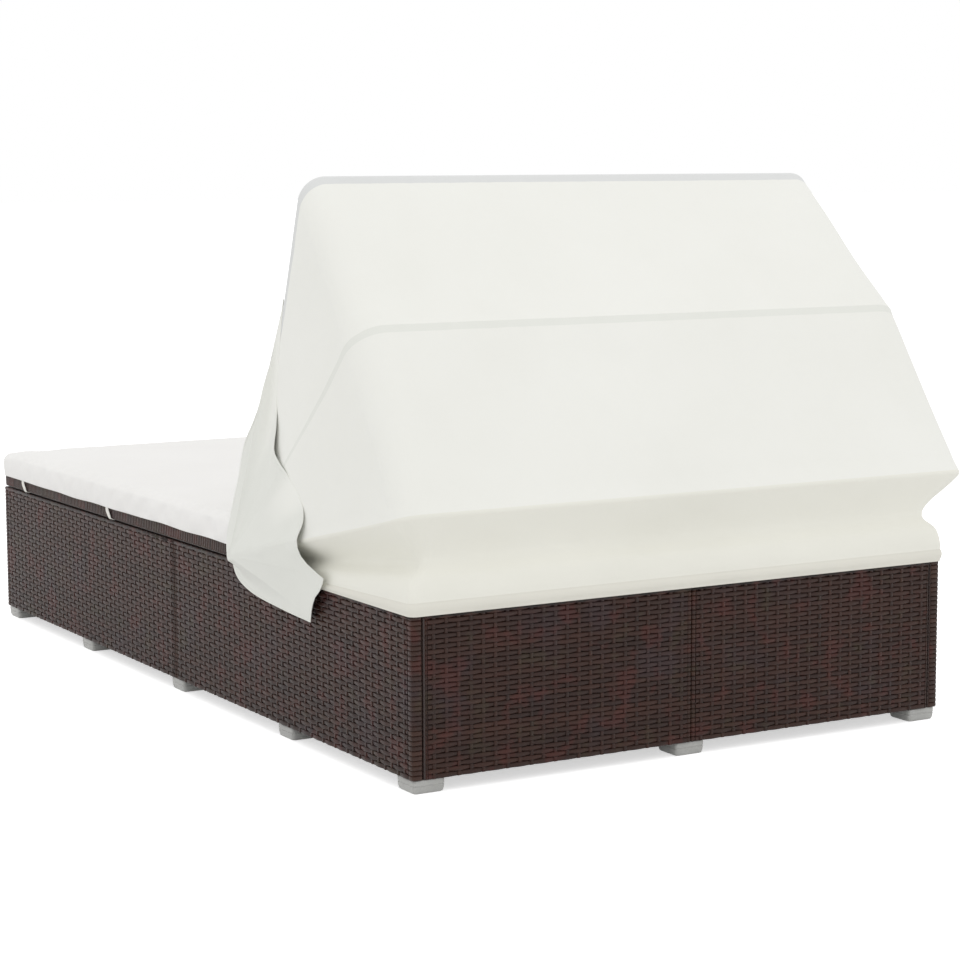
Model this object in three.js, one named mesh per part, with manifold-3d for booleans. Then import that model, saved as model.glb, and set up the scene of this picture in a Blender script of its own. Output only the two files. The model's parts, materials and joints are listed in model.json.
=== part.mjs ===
// Outdoor daybed with a folding canopy and a lifting backrest.
// Millimetres, +Z up, +Y towards the head end, origin on the floor at the middle of the bed.
// The woven box stands on small feet and carries two loose decks, a hinged backrest and a canopy.
// The canopy's three hoops and the backrest turn on one pair of pivot bolts.
import * as THREE from 'three';
import { mergeVertices } from 'three/addons/utils/BufferGeometryUtils.js';
import Module from 'manifold-3d';

const wasm = await Module();
wasm.setup();

// Driving dimensions: bed
const bedLength = 2000;
const bedWidth = 1140;
const footHeight = 24;
const footSize = 62;
const footRound = 6;
const footTaper = 2;
const footInset = 1;
const footRoundSteps = 2;
const panelHeight = 284;
const panelThickness = 19;
const panelSkin = 5;
const panelRail = 16;
const panelRound = 4;
const sidePockets = 4;
const endPockets = 2;
const panelGap = 1;
const seat = 0.3;
const cutOver = 2;

// Driving dimensions: rails, beam and posts inside the box
const railSize = 20;
const railRise = 3;
const railEndGap = 0.5;
const railFootInset = 35;
const railHeadInset = 45;
const beamSize = 20;
const postSize = 30;

// Driving dimensions: decks
const shadowGap = 3.3;
const deckThickness = 27;
const deckSkin = 7;
const deckRim = 34;
const seatSection = 673;
const deckJointGap = 2;
const deckRound = 5;

// Driving dimensions: pivot shared by the hoops and the backrest
const headSection = 660;
const boltRadius = 5;
const boltFit = 0.3;
const boltHeadRadius = 9;
const boltHeadHeight = 4;
const boltDepth = 30;

// Driving dimensions: backrest and its stay
const backrestSideGap = 6.8;
const backrestEndGap = 23;
const noseGap = 2.5;
const stayPivotOut = 240;
const stayPivotDrop = 24;
const stayFootSetback = 96.5;
const stayRestAngle = 6;
const stayInset = 50;
const stayTube = 5;
const stayBarEndGap = 3;
const stayEyeRadius = 9;
const stayEyeWidth = 10;
const stayPinRadius = 4;
const lugThickness = 4.5;
const lugReach = 10;

// Driving dimensions: notched rails that take the stay's foot
const ratchetThickness = 12;
const ratchetDepth = 34;
const ratchetLength = 158;
const ratchetEndLap = 20;
const ratchetClear = 0.5;
const ratchetDip = 3.4;
const notchPitch = 26;
const notchDepth = 7;
const notchRound = 2.5;
const notchCount = 5;

// Driving dimensions: canopy hoops and brackets
const hoopTube = 8;
const hoopCorner = 28;
const rearHoopSplay = 18;
const midHoopSplay = 16;
const frontHoopSplay = 6;
const eyeRadius = 11;
const eyeWidth = 16.4;
const tubeStart = 6.5;
const eyeGap = 1.6;
const frontHoopInset = 18;
const rearHoopOver = 8;
const midHoopUnder = 10;
const frontHoopOver = 78;
const hoopTilts = { rear: 12.9, mid: 43.8, front: 70.8 };
const cheekThickness = 4;
const cheekGap = 3;
const bracketLength = 56;
const bracketRound = 14;
const bracketGap = 1.5;

// Driving dimensions: canopy cloth
const clothThickness = 2.4;
const clothGap = 0.5;
const clothStart = 60;
const gapBetweenCloths = 0.4;
const hemOverhang = 18;
const gorePanelSag = 4;
const skirtStart = 130;
const skirtBottomLap = 1;
const skirtStandOff = 7;
const skirtPinch = 30;
const skirtCorner = 14;
const flapAhead = 34;
const flapDrop = 72;
const flapSpan = 428;
const flapRise = 391;
const flapBow = 18;
const flapStandOff = 2.1;
const flapBulge = 3;
const flapClingFrom = 130;
const flapClingTo = 390;

// Driving dimensions: mattress and its ties
const mattressEdge = 46;
const mattressCrown = 9;
const mattressCrownRun = 200;
const mattressDroop = 6;
const mattressRound = 17;
const mattressCorner = 26;
const mattressFootOver = 16;
const mattressSideOver = 8;
const mattressDrawIn = 4;
const mattressFoldGap = 12;
const mattressHeadOver = 4;
const foldSlant = 20;
const strapWidth = 13;
const strapThickness = 2;
const strapReach = 18;
const strapFootInset = 136;
const strapJointInset = 13;

// Places worked out from the driving dimensions
const halfLength = bedLength / 2;
const halfWidth = bedWidth / 2;
const boxBottom = footHeight + seat;
const boxTop = footHeight + panelHeight;
const innerX = halfWidth - panelThickness;
const innerY = halfLength - panelThickness;
const footSpacing = halfLength / 2;
const pivotY = halfLength - headSection;
const deckJoint = pivotY - seatSection;
const railFoot = halfLength - railFootInset;
const backrestEnd = innerY - backrestEndGap;
const railTop = boxTop + railRise;
const deckBottom = boxTop + shadowGap;
const deckTop = deckBottom + deckThickness;
const noseRadius = deckThickness / 2;
const pivotZ = deckBottom + noseRadius;
const beamTop = railTop - railSize - seat;
const headRailY = halfLength - railHeadInset;
const seatRailY = pivotY - noseRadius - railSize / 2 + deckJointGap;
const seatDeckEnd = pivotY - noseRadius - noseGap;
const mattressBottom = deckTop + seat;
const hoopPitch = eyeWidth + eyeGap;
const frontHalfWidth = halfWidth - frontHoopInset;
const rearReach = headSection + rearHoopOver;
const hoops = {
  rear: {
    halfWidth: frontHalfWidth + 2 * hoopPitch,
    splay: rearHoopSplay,
    reach: rearReach,
    tilt: hoopTilts.rear,
  },
  mid: {
    halfWidth: frontHalfWidth + hoopPitch,
    splay: midHoopSplay,
    reach: rearReach - midHoopUnder,
    tilt: hoopTilts.mid,
  },
  front: {
    halfWidth: frontHalfWidth,
    splay: frontHoopSplay,
    reach: rearReach + frontHoopOver,
    tilt: hoopTilts.front,
  },
};
const cheekX = frontHalfWidth - eyeWidth / 2 - cheekGap;
const backrestHalfWidth = cheekX - cheekThickness - backrestSideGap;
const mattressHeadHalfWidth = backrestHalfWidth + mattressHeadOver;
const stayHalfSpan = backrestHalfWidth - stayInset;
const stayRun = headRailY - railSize / 2 - stayFootSetback - pivotY - stayPivotOut;
const footPlace = { x: halfWidth - footInset - footSize / 2, y: halfLength - footInset - footSize / 2 };
const tubeSides = 10;
const roundSides = 24;
const weld = 1e-4;

// Finishes
const finishes = {
  wicker: { color: 0x3a2a26, roughness: 0.55, metalness: 0 },
  frame: { color: 0x3b3532, roughness: 0.45, metalness: 0.6 },
  foot: { color: 0xbcbcb9, roughness: 0.45, metalness: 0.2 },
  hoop: { color: 0xd2d0ca, roughness: 0.4, metalness: 0.6 },
  steel: { color: 0xc4c6c8, roughness: 0.3, metalness: 0.9 },
  canopyCloth: { color: 0xefeee8, roughness: 0.9, metalness: 0 },
  mattressCloth: { color: 0xefeeea, roughness: 0.9, metalness: 0 },
};

const daybed = new THREE.Group();
daybed.name = 'daybed';

function addPiece(name, geometry, finish) {
  const flat = geometry.index ? geometry.toNonIndexed() : geometry;
  flat.computeVertexNormals();
  const mesh = new THREE.Mesh(flat, new THREE.MeshStandardMaterial(finishes[finish]));
  mesh.name = name;
  daybed.add(mesh);
  return mesh;
}

const radians = (degrees) => (degrees * Math.PI) / 180;
const mix = THREE.MathUtils.lerp;
const smooth = (value, low, high) => THREE.MathUtils.smoothstep(value, low, high);

// A range on the positive side, or its mirror image on the negative side
const onSide = (side, range) => (side > 0 ? range : [-range[1], -range[0]]);

// Joining and cutting
function toSolid(geometry) {
  const bare = geometry.clone();
  bare.deleteAttribute('normal');
  bare.deleteAttribute('uv');
  const merged = mergeVertices(bare, weld);
  const vertProperties = new Float32Array(merged.attributes.position.array);
  const triVerts = new Uint32Array(merged.index.array);
  return new wasm.Manifold(new wasm.Mesh({ numProp: 3, vertProperties, triVerts }));
}

function fromSolid(solid) {
  const mesh = solid.getMesh();
  const geometry = new THREE.BufferGeometry();
  geometry.setAttribute('position', new THREE.Float32BufferAttribute(mesh.vertProperties, 3));
  geometry.setIndex(new THREE.Uint32BufferAttribute(mesh.triVerts, 1));
  return geometry;
}

function cut(body, tools) {
  let solid = toSolid(body);
  for (const tool of tools) solid = solid.subtract(toSolid(tool));
  return fromSolid(solid);
}

function join(pieces) {
  let solid = toSolid(pieces[0]);
  for (const piece of pieces.slice(1)) solid = solid.add(toSolid(piece));
  return fromSolid(solid);
}

// Basic forms in place
function block(x, y, z) {
  const geometry = new THREE.BoxGeometry(x[1] - x[0], y[1] - y[0], z[1] - z[0]);
  return geometry.translate((x[0] + x[1]) / 2, (y[0] + y[1]) / 2, (z[0] + z[1]) / 2);
}

function rodAlongX(radius, x, y, z, sides = roundSides) {
  const geometry = new THREE.CylinderGeometry(radius, radius, x[1] - x[0], sides);
  return geometry.rotateZ(Math.PI / 2).translate((x[0] + x[1]) / 2, y, z);
}

// A profile in the Y-Z plane pulled along X
function pulledAlongX(shape, x, curveSegments = 6) {
  const settings = { depth: x[1] - x[0], bevelEnabled: false, curveSegments };
  const geometry = new THREE.ExtrudeGeometry(shape, settings);
  return geometry.rotateY(Math.PI / 2).rotateX(Math.PI / 2).translate(x[0], 0, 0);
}

function roundedRectangle(x, y, radius) {
  const shape = new THREE.Shape();
  shape.moveTo(x[0] + radius, y[0]);
  shape.lineTo(x[1] - radius, y[0]);
  shape.absarc(x[1] - radius, y[0] + radius, radius, -Math.PI / 2, 0);
  shape.lineTo(x[1], y[1] - radius);
  shape.absarc(x[1] - radius, y[1] - radius, radius, 0, Math.PI / 2);
  shape.lineTo(x[0] + radius, y[1]);
  shape.absarc(x[0] + radius, y[1] - radius, radius, Math.PI / 2, Math.PI);
  shape.lineTo(x[0], y[0] + radius);
  shape.absarc(x[0] + radius, y[0] + radius, radius, Math.PI, Math.PI * 1.5);
  return shape;
}

function upright(shape, z, curveSegments = 3) {
  const settings = { depth: z[1] - z[0], bevelEnabled: false, curveSegments };
  const geometry = new THREE.ExtrudeGeometry(shape, settings);
  return geometry.translate(0, 0, z[0]);
}

// Feet: square cups, a little narrower at the floor
function footBody(x, y) {
  const rows = [[0, footTaper], [footHeight / 2, 0], [footHeight, 0]];
  const half = footSize / 2;
  const rings = rows.map(([z, inset]) => {
    const outline = roundedRectangle([-half + inset, half - inset], [-half + inset, half - inset], footRound);
    return outline.getPoints(footRoundSteps).map((p) => new THREE.Vector3(x + p.x, y + p.y, z));
  });
  return closedRings(rings);
}

// A closed body through rings of points, lowest ring first, with flat ends
function closedRings(rings) {
  const positions = [];
  const indices = [];
  const count = rings[0].length - 1;
  for (const ring of rings) {
    for (const p of ring.slice(0, count)) positions.push(p.x, p.y, p.z);
  }
  for (let i = 0; i < rings.length - 1; i += 1) {
    for (let j = 0; j < count; j += 1) {
      const next = (j + 1) % count;
      const low = i * count;
      const high = low + count;
      indices.push(low + j, low + next, high + next, low + j, high + next, high + j);
    }
  }
  for (const [ring, flip] of [[0, true], [rings.length - 1, false]]) {
    const middle = new THREE.Vector3();
    for (const p of rings[ring].slice(0, count)) middle.add(p);
    middle.divideScalar(count);
    const centre = positions.length / 3;
    positions.push(middle.x, middle.y, middle.z);
    for (let j = 0; j < count; j += 1) {
      const a = ring * count + j;
      const b = ring * count + ((j + 1) % count);
      if (flip) indices.push(centre, b, a);
      else indices.push(centre, a, b);
    }
  }
  return facingOut(positions, indices);
}

function facingOut(positions, indices) {
  const geometry = new THREE.BufferGeometry();
  geometry.setAttribute('position', new THREE.Float32BufferAttribute(positions, 3));
  const corner = (i) => new THREE.Vector3().fromArray(positions, indices[i] * 3);
  let volume = 0;
  for (let i = 0; i < indices.length; i += 3) {
    volume += corner(i).dot(corner(i + 1).cross(corner(i + 2)));
  }
  if (volume < 0) {
    for (let i = 0; i < indices.length; i += 3) [indices[i], indices[i + 1]] = [indices[i + 1], indices[i]];
  }
  geometry.setIndex(indices);
  return geometry;
}

const footRows = [
  ['head', footPlace.y],
  ['head_quarter', footSpacing],
  ['middle', 0],
  ['foot_quarter', -footSpacing],
  ['foot', -footPlace.y],
];
for (const [row, y] of footRows) {
  addPiece(`foot_${row}_right`, footBody(footPlace.x, y), 'foot');
  addPiece(`foot_${row}_left`, footBody(-footPlace.x, y), 'foot');
}
addPiece('foot_head_centre', footBody(0, footPlace.y), 'foot');
addPiece('foot_foot_centre', footBody(0, -footPlace.y), 'foot');

// Panels of the woven box: a woven face on a welded frame, open on the inner side
const panelZ = [boxBottom, boxTop];

function panelPockets(length, count) {
  const pitch = (length - panelRail) / count;
  return Array.from({ length: count }, (unused, i) => {
    const from = panelRail + i * pitch;
    return [from, from + pitch - panelRail];
  });
}

function sidePanel(side, y) {
  const body = upright(roundedRectangle(onSide(side, [innerX, halfWidth]), y, panelRound), panelZ);
  const pocketX = onSide(side, [innerX - cutOver, halfWidth - panelSkin]);
  const pockets = panelPockets(y[1] - y[0], sidePockets).map(([from, to]) => (
    block(pocketX, [y[0] + from, y[0] + to], [boxBottom + panelRail, boxTop - panelRail])
  ));
  return cut(body, pockets);
}

function endPanel(end, x) {
  const body = upright(roundedRectangle(x, onSide(end, [innerY, halfLength]), panelRound), panelZ);
  const pocketY = onSide(end, [innerY - cutOver, halfLength - panelSkin]);
  const pockets = panelPockets(x[1] - x[0], endPockets).map(([from, to]) => (
    block([x[0] + from, x[0] + to], pocketY, [boxBottom + panelRail, boxTop - panelRail])
  ));
  return cut(body, pockets);
}

for (const [name, side] of [['right', 1], ['left', -1]]) {
  addPiece(`side_panel_head_${name}`, sidePanel(side, [panelGap / 2, halfLength]), 'wicker');
  addPiece(`side_panel_foot_${name}`, sidePanel(side, [-halfLength, -panelGap / 2]), 'wicker');
  const x = onSide(side, [panelGap / 2, innerX - panelGap]);
  addPiece(`end_panel_head_${name}`, endPanel(1, x), 'wicker');
  addPiece(`end_panel_foot_${name}`, endPanel(-1, x), 'wicker');
}

// Cross rails between the side panels, with the centre beam and its posts beneath
const railX = [-innerX + railEndGap, innerX - railEndGap];
const crossRails = [
  ['foot', -railFoot],
  ['deck_joint', deckJoint],
  ['backrest_hinge', seatRailY],
  ['head', headRailY],
];
for (const [name, y] of crossRails) {
  const z = [railTop - railSize, railTop];
  addPiece(`cross_rail_${name}`, block(railX, [y - railSize / 2, y + railSize / 2], z), 'frame');
}
const beamY = [-innerY + railEndGap, seatRailY + postSize / 2];
const beamZ = [beamTop - beamSize, beamTop];
addPiece('centre_beam', block([-beamSize / 2, beamSize / 2], beamY, beamZ), 'frame');
for (const [name, y] of [['foot', -footSpacing], ['middle', 0], ['head', seatRailY]]) {
  const half = postSize / 2;
  const z = [footHeight + seat, beamTop - beamSize - seat];
  addPiece(`centre_post_${name}`, block([-half, half], [y - half, y + half], z), 'frame');
  addPiece(`centre_foot_${name}`, footBody(0, y), 'foot');
}

// Decks: a welded frame with a woven top, open underneath between its bars
const deckColumns = 2;
function deckBody(halfSpan, y, crossBars, shape) {
  const pitchX = (2 * halfSpan - deckRim) / deckColumns;
  const starts = [y[0] + deckRim, ...crossBars.map((bar) => bar + deckRim / 2)];
  const ends = [...crossBars.map((bar) => bar - deckRim / 2), y[1] - deckRim];
  const pockets = [];
  for (let i = 0; i < deckColumns; i += 1) {
    const from = -halfSpan + deckRim + i * pitchX;
    starts.forEach((start, k) => pockets.push(block(
      [from, from + pitchX - deckRim],
      [start, ends[k]],
      [deckBottom - cutOver, deckTop - deckSkin],
    )));
  }
  return cut(shape, pockets);
}

function looseDeck(y) {
  const outline = roundedRectangle([-halfWidth, halfWidth], y, deckRound);
  return deckBody(halfWidth, y, [(y[0] + y[1]) / 2], upright(outline, [deckBottom, deckTop]));
}

const deckHalfJoint = deckJointGap / 2;
addPiece('deck_foot', looseDeck([-halfLength, deckJoint - deckHalfJoint]), 'wicker');
addPiece('deck_seat', looseDeck([deckJoint + deckHalfJoint, seatDeckEnd]), 'wicker');

// Backrest deck: its front edge is a full round about the pivot, bored at both ends for the bolts
function backrestDeck() {
  const profile = new THREE.Shape();
  profile.moveTo(backrestEnd, deckBottom);
  profile.lineTo(backrestEnd, deckTop);
  profile.lineTo(pivotY, deckTop);
  profile.absarc(pivotY, pivotZ, noseRadius, Math.PI / 2, Math.PI * 1.5);
  const board = pulledAlongX(profile, [-backrestHalfWidth, backrestHalfWidth], 8);
  const lugY = pivotY + stayPivotOut;
  const lugZ = pivotZ - stayPivotDrop;
  const framed = deckBody(backrestHalfWidth, [pivotY, backrestEnd], [lugY], board);
  const lugs = [];
  const bores = [];
  const eyeEdge = stayEyeWidth / 2 + seat;
  for (const side of [1, -1]) {
    for (const face of [stayHalfSpan - eyeEdge - lugThickness, stayHalfSpan + eyeEdge]) {
      const shape = new THREE.Shape();
      shape.moveTo(lugY + lugReach, deckBottom + deckThickness / 2);
      shape.lineTo(lugY - lugReach, deckBottom + deckThickness / 2);
      shape.absarc(lugY, lugZ, lugReach, Math.PI, Math.PI * 2);
      lugs.push(pulledAlongX(shape, onSide(side, [face, face + lugThickness])));
    }
    const reach = stayEyeWidth + lugThickness;
    const pinX = onSide(side, [stayHalfSpan - reach, stayHalfSpan + reach]);
    bores.push(rodAlongX(stayPinRadius + boltFit, pinX, lugY, lugZ));
    const boltX = onSide(side, [backrestHalfWidth - boltDepth, backrestHalfWidth + cutOver]);
    bores.push(rodAlongX(boltRadius + boltFit, boltX, pivotY, pivotZ));
  }
  return cut(join([framed, ...lugs]), bores);
}
addPiece('backrest_deck', backrestDeck(), 'wicker');

// Pivot bolts: a round pin with a domed head outside the outermost hoop
const boltHeadX = hoops.rear.halfWidth + eyeWidth / 2 + seat;
function pivotBolt(side) {
  const tip = backrestHalfWidth - boltDepth + cutOver;
  const profile = [
    new THREE.Vector2(0, tip),
    new THREE.Vector2(boltRadius, tip),
    new THREE.Vector2(boltRadius, boltHeadX),
    new THREE.Vector2(boltHeadRadius, boltHeadX),
    new THREE.Vector2(boltHeadRadius, boltHeadX + boltHeadHeight / 2),
    new THREE.Vector2(boltHeadRadius / 2, boltHeadX + boltHeadHeight),
    new THREE.Vector2(0, boltHeadX + boltHeadHeight),
  ];
  const turned = new THREE.LatheGeometry(profile, roundSides).rotateZ(-side * Math.PI / 2);
  return turned.translate(0, pivotY, pivotZ);
}

// Brackets: an angle on the side panel's top edge, whose cheek carries the pivot bolt
const bracketBase = [boxTop + seat, boxTop + seat + cheekThickness];
function pivotBracket(side) {
  const from = seatRailY + railSize / 2 + bracketGap;
  const to = from + bracketLength;
  const cheek = new THREE.Shape();
  cheek.moveTo(from, bracketBase[0]);
  cheek.lineTo(to, bracketBase[0]);
  cheek.lineTo(to, bracketBase[1]);
  cheek.lineTo(pivotY + bracketRound, pivotZ);
  cheek.absarc(pivotY, pivotZ, bracketRound, 0, Math.PI);
  cheek.lineTo(from, bracketBase[1]);
  const inner = cheekX - cheekThickness;
  const plate = block(onSide(side, [inner, halfWidth - cheekGap]), [from, to], bracketBase);
  const upstand = pulledAlongX(cheek, onSide(side, [inner, cheekX]));
  const boreX = onSide(side, [inner - cutOver, cheekX + cutOver]);
  return cut(join([plate, upstand]), [rodAlongX(boltRadius + boltFit, boreX, pivotY, pivotZ)]);
}

for (const [name, side] of [['right', 1], ['left', -1]]) {
  addPiece(`pivot_bracket_${name}`, pivotBracket(side), 'frame');
  addPiece(`pivot_bolt_${name}`, pivotBolt(side), 'steel');
}

// Stay: a bent tube frame that hangs under the backrest and props it in the notched rails
const stayPivot = { y: pivotY + stayPivotOut, z: pivotZ - stayPivotDrop };
const stayArm = stayRun / Math.cos(radians(stayRestAngle));
const stayFoot = { y: stayPivot.y + stayRun, z: stayPivot.z - stayArm * Math.sin(radians(stayRestAngle)) };
function backrestStay() {
  const barHalf = innerX - stayBarEndGap;
  const parts = [rodAlongX(stayTube, [-barHalf, barHalf], stayFoot.y, stayFoot.z, tubeSides)];
  for (const side of [1, -1]) {
    const x = side * stayHalfSpan;
    const arm = new THREE.CylinderGeometry(stayTube, stayTube, stayArm, tubeSides);
    arm.rotateX(-radians(stayRestAngle));
    arm.translate(x, (stayPivot.y + stayFoot.y) / 2, (stayPivot.z + stayFoot.z) / 2);
    const half = stayEyeWidth / 2;
    parts.push(arm, rodAlongX(stayEyeRadius, [x - half, x + half], stayPivot.y, stayPivot.z));
  }
  const bores = [1, -1].map((side) => {
    const x = side * stayHalfSpan;
    const range = [x - stayEyeWidth, x + stayEyeWidth];
    return rodAlongX(stayPinRadius + boltFit, range, stayPivot.y, stayPivot.z);
  });
  return cut(join(parts), bores);
}
addPiece('backrest_stay', backrestStay(), 'frame');
for (const [name, side] of [['right', 1], ['left', -1]]) {
  const half = stayEyeWidth / 2 + seat + lugThickness;
  const x = [side * stayHalfSpan - half, side * stayHalfSpan + half];
  addPiece(`stay_pin_${name}`, rodAlongX(stayPinRadius, x, stayPivot.y, stayPivot.z), 'steel');
}

// Notched rails on the inner faces of the side panels
const ratchetTop = stayFoot.z - stayTube - ratchetDip - ratchetClear;
function ratchetRail(side) {
  const to = stayFoot.y + ratchetEndLap;
  const from = to - ratchetLength;
  const shape = new THREE.Shape();
  shape.moveTo(from, ratchetTop - ratchetDepth);
  shape.lineTo(to, ratchetTop - ratchetDepth);
  shape.lineTo(to, ratchetTop);
  for (let i = notchCount - 1; i >= 0; i -= 1) {
    const notch = from + notchPitch * (i + 1 / 2);
    shape.lineTo(notch + notchPitch / 2, ratchetTop);
    shape.lineTo(notch + notchRound, ratchetTop - notchDepth + notchRound);
    shape.absarc(notch, ratchetTop - notchDepth + notchRound, notchRound, 0, -Math.PI, true);
    shape.lineTo(notch - notchRound, ratchetTop);
  }
  shape.lineTo(from, ratchetTop);
  const outer = innerX - seat;
  return pulledAlongX(shape, onSide(side, [outer - ratchetThickness, outer]), 2);
}
addPiece('ratchet_rail_right', ratchetRail(1), 'frame');
addPiece('ratchet_rail_left', ratchetRail(-1), 'frame');

// Hoops: a bent tube with an eye at each end
const legSteps = 7;
const cornerSteps = 5;
const barSteps = 6;

// Stations along a hoop from its right leg over the bar to its left leg, as [x, distance from pivot]
function hoopStations(hoop, start) {
  const legEnd = hoop.reach - hoopCorner;
  const barEnd = hoop.halfWidth - hoopCorner;
  const right = [];
  for (let i = 0; i <= legSteps; i += 1) right.push([hoop.halfWidth, mix(start, legEnd, i / legSteps)]);
  for (let i = 1; i <= cornerSteps; i += 1) {
    const angle = (Math.PI / 2) * (i / cornerSteps);
    right.push([barEnd + hoopCorner * Math.cos(angle), legEnd + hoopCorner * Math.sin(angle)]);
  }
  const bar = [];
  for (let i = 1; i < barSteps; i += 1) bar.push([mix(barEnd, -barEnd, i / barSteps), hoop.reach]);
  const left = right.map(([x, r]) => [-x, r]).reverse();
  return [...right, ...bar, ...left];
}

// A station in space: the hoop leans by its tilt and its legs spread towards the bar
function onHoop(hoop, [x, r]) {
  const tilt = radians(hoop.tilt);
  const spread = 1 + (hoop.splay / hoop.halfWidth) * (r / hoop.reach);
  return new THREE.Vector3(x * spread, pivotY + r * Math.cos(tilt), pivotZ + r * Math.sin(tilt));
}

// Centre line of a hoop's tube, from inside its right eye to inside its left eye
function hoopCentreLine(hoop) {
  const legEnd = hoop.reach - hoopCorner;
  const barEnd = hoop.halfWidth - hoopCorner;
  const right = [onHoop(hoop, [hoop.halfWidth, tubeStart])];
  for (let i = 0; i <= cornerSteps; i += 1) {
    const angle = (Math.PI / 2) * (i / cornerSteps);
    const station = [barEnd + hoopCorner * Math.cos(angle), legEnd + hoopCorner * Math.sin(angle)];
    right.push(onHoop(hoop, station));
  }
  const left = right.map((p) => new THREE.Vector3(-p.x, p.y, p.z)).reverse();
  return [...right, ...left];
}

// A tube through points that lie in one plane, with mitred rings
function tubeBody(points, radius, sides, across) {
  const rings = points.map((point, i) => {
    const before = points[Math.max(i - 1, 0)];
    const after = points[Math.min(i + 1, points.length - 1)];
    const along = new THREE.Vector3().subVectors(after, before).normalize();
    const out = new THREE.Vector3().crossVectors(along, across).normalize();
    const ring = [];
    for (let k = 0; k <= sides; k += 1) {
      const angle = (2 * Math.PI * k) / sides;
      const p = point.clone();
      p.addScaledVector(out, radius * Math.cos(angle)).addScaledVector(across, radius * Math.sin(angle));
      ring.push(p);
    }
    return ring;
  });
  return closedRings(rings);
}

function hoopBody(hoop) {
  const tilt = radians(hoop.tilt);
  const across = new THREE.Vector3(0, -Math.sin(tilt), Math.cos(tilt));
  const parts = [tubeBody(hoopCentreLine(hoop), hoopTube, tubeSides, across)];
  const bores = [];
  for (const side of [1, -1]) {
    const x = side * hoop.halfWidth;
    const half = eyeWidth / 2;
    parts.push(rodAlongX(eyeRadius, [x - half, x + half], pivotY, pivotZ));
    bores.push(rodAlongX(boltRadius + boltFit, [x - eyeWidth, x + eyeWidth], pivotY, pivotZ));
  }
  return cut(join(parts), bores);
}
addPiece('rear_hoop', hoopBody(hoops.rear), 'hoop');
addPiece('mid_hoop', hoopBody(hoops.mid), 'hoop');
addPiece('front_hoop', hoopBody(hoops.front), 'hoop');

// Cloth: a closed sheet between an outer and an inner grid of points
function sheetBody(middle, normals) {
  const rows = middle.length;
  const columns = middle[0].length;
  const positions = [];
  for (const side of [1, -1]) {
    middle.forEach((row, i) => row.forEach((point, j) => {
      const p = point.clone().addScaledVector(normals[i][j], (side * clothThickness) / 2);
      positions.push(p.x, p.y, p.z);
    }));
  }
  const indices = [];
  const quad = (a, b, c, d) => indices.push(a, b, c, a, c, d);
  const outer = (i, j) => i * columns + j;
  const inner = (i, j) => rows * columns + i * columns + j;
  for (let i = 0; i < rows - 1; i += 1) {
    for (let j = 0; j < columns - 1; j += 1) {
      quad(outer(i, j), outer(i + 1, j), outer(i + 1, j + 1), outer(i, j + 1));
      quad(inner(i, j), inner(i, j + 1), inner(i + 1, j + 1), inner(i + 1, j));
    }
    quad(outer(i, 0), inner(i, 0), inner(i + 1, 0), outer(i + 1, 0));
    const end = columns - 1;
    quad(outer(i, end), outer(i + 1, end), inner(i + 1, end), inner(i, end));
  }
  for (let j = 0; j < columns - 1; j += 1) {
    quad(outer(0, j), outer(0, j + 1), inner(0, j + 1), inner(0, j));
    const end = rows - 1;
    quad(outer(end, j), inner(end, j), inner(end, j + 1), outer(end, j + 1));
  }
  return facingOut(positions, indices);
}

const clothOffset = hoopTube + clothGap + clothThickness / 2;
const inside = new THREE.Vector3(0, pivotY, pivotZ);

// Outward normal at each station of the ruled surface between two hoops
function stationNormals(from, to) {
  return from.map((point, i) => {
    const before = Math.max(i - 1, 0);
    const after = Math.min(i + 1, from.length - 1);
    const along = new THREE.Vector3().addVectors(from[after], to[after]).sub(from[before]).sub(to[before]);
    const across = new THREE.Vector3().subVectors(to[i], point);
    const normal = new THREE.Vector3().crossVectors(along, across).normalize();
    const out = new THREE.Vector3().addVectors(point, to[i]).multiplyScalar(1 / 2).sub(inside);
    return normal.dot(out) < 0 ? normal.negate() : normal;
  });
}

const lines = {};
for (const [name, hoop] of Object.entries(hoops)) {
  lines[name] = hoopStations(hoop, clothStart).map((station) => onHoop(hoop, station));
}
const frontNormals = stationNormals(lines.front, lines.mid);
const rearNormals = stationNormals(lines.mid, lines.rear);
const midNormals = frontNormals.map((n, i) => n.clone().add(rearNormals[i]).normalize());

// Directions along a hoop at its stations
function stationTangents(line) {
  return line.map((point, i) => new THREE.Vector3().subVectors(
    line[Math.min(i + 1, line.length - 1)],
    line[Math.max(i - 1, 0)],
  ).normalize());
}

// A gore hangs between two hoops and sags a little between them; a front hem runs past its hoop
const goreShares = [1 / 6, 1 / 3, 1 / 2, 2 / 3, 5 / 6];
function gore(from, to, normals, ends) {
  const middle = [];
  const sheetNormals = [];
  const tangents = [stationTangents(from), stationTangents(to)];
  from.forEach((point, i) => {
    const chord = new THREE.Vector3().subVectors(to[i], point);
    const length = chord.length();
    const row = [];
    const rowNormals = [];
    const hem = ends.before > 0 ? [0] : [];
    const shares = [-ends.before / length, ...hem, ...goreShares, 1 + ends.after / length];
    shares.forEach((share, j) => {
      let normal = normals[i];
      if (j === 0 && ends.first) normal = ends.first[i];
      if (j === shares.length - 1 && ends.last) normal = ends.last[i];
      const inRow = THREE.MathUtils.clamp(share, 0, 1);
      const tangent = tangents[0][i].clone().lerp(tangents[1][i], inRow).normalize();
      normal = normal.clone().addScaledVector(tangent, -normal.dot(tangent)).normalize();
      const sag = gorePanelSag * 4 * inRow * (1 - inRow) * Math.min(length / hoops.mid.reach, 1);
      const p = point.clone().addScaledVector(chord, share);
      row.push(p.addScaledVector(normal, clothOffset - sag));
      rowNormals.push(normal);
    });
    middle.push(row);
    sheetNormals.push(rowNormals);
  });
  return sheetBody(middle, sheetNormals);
}
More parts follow.
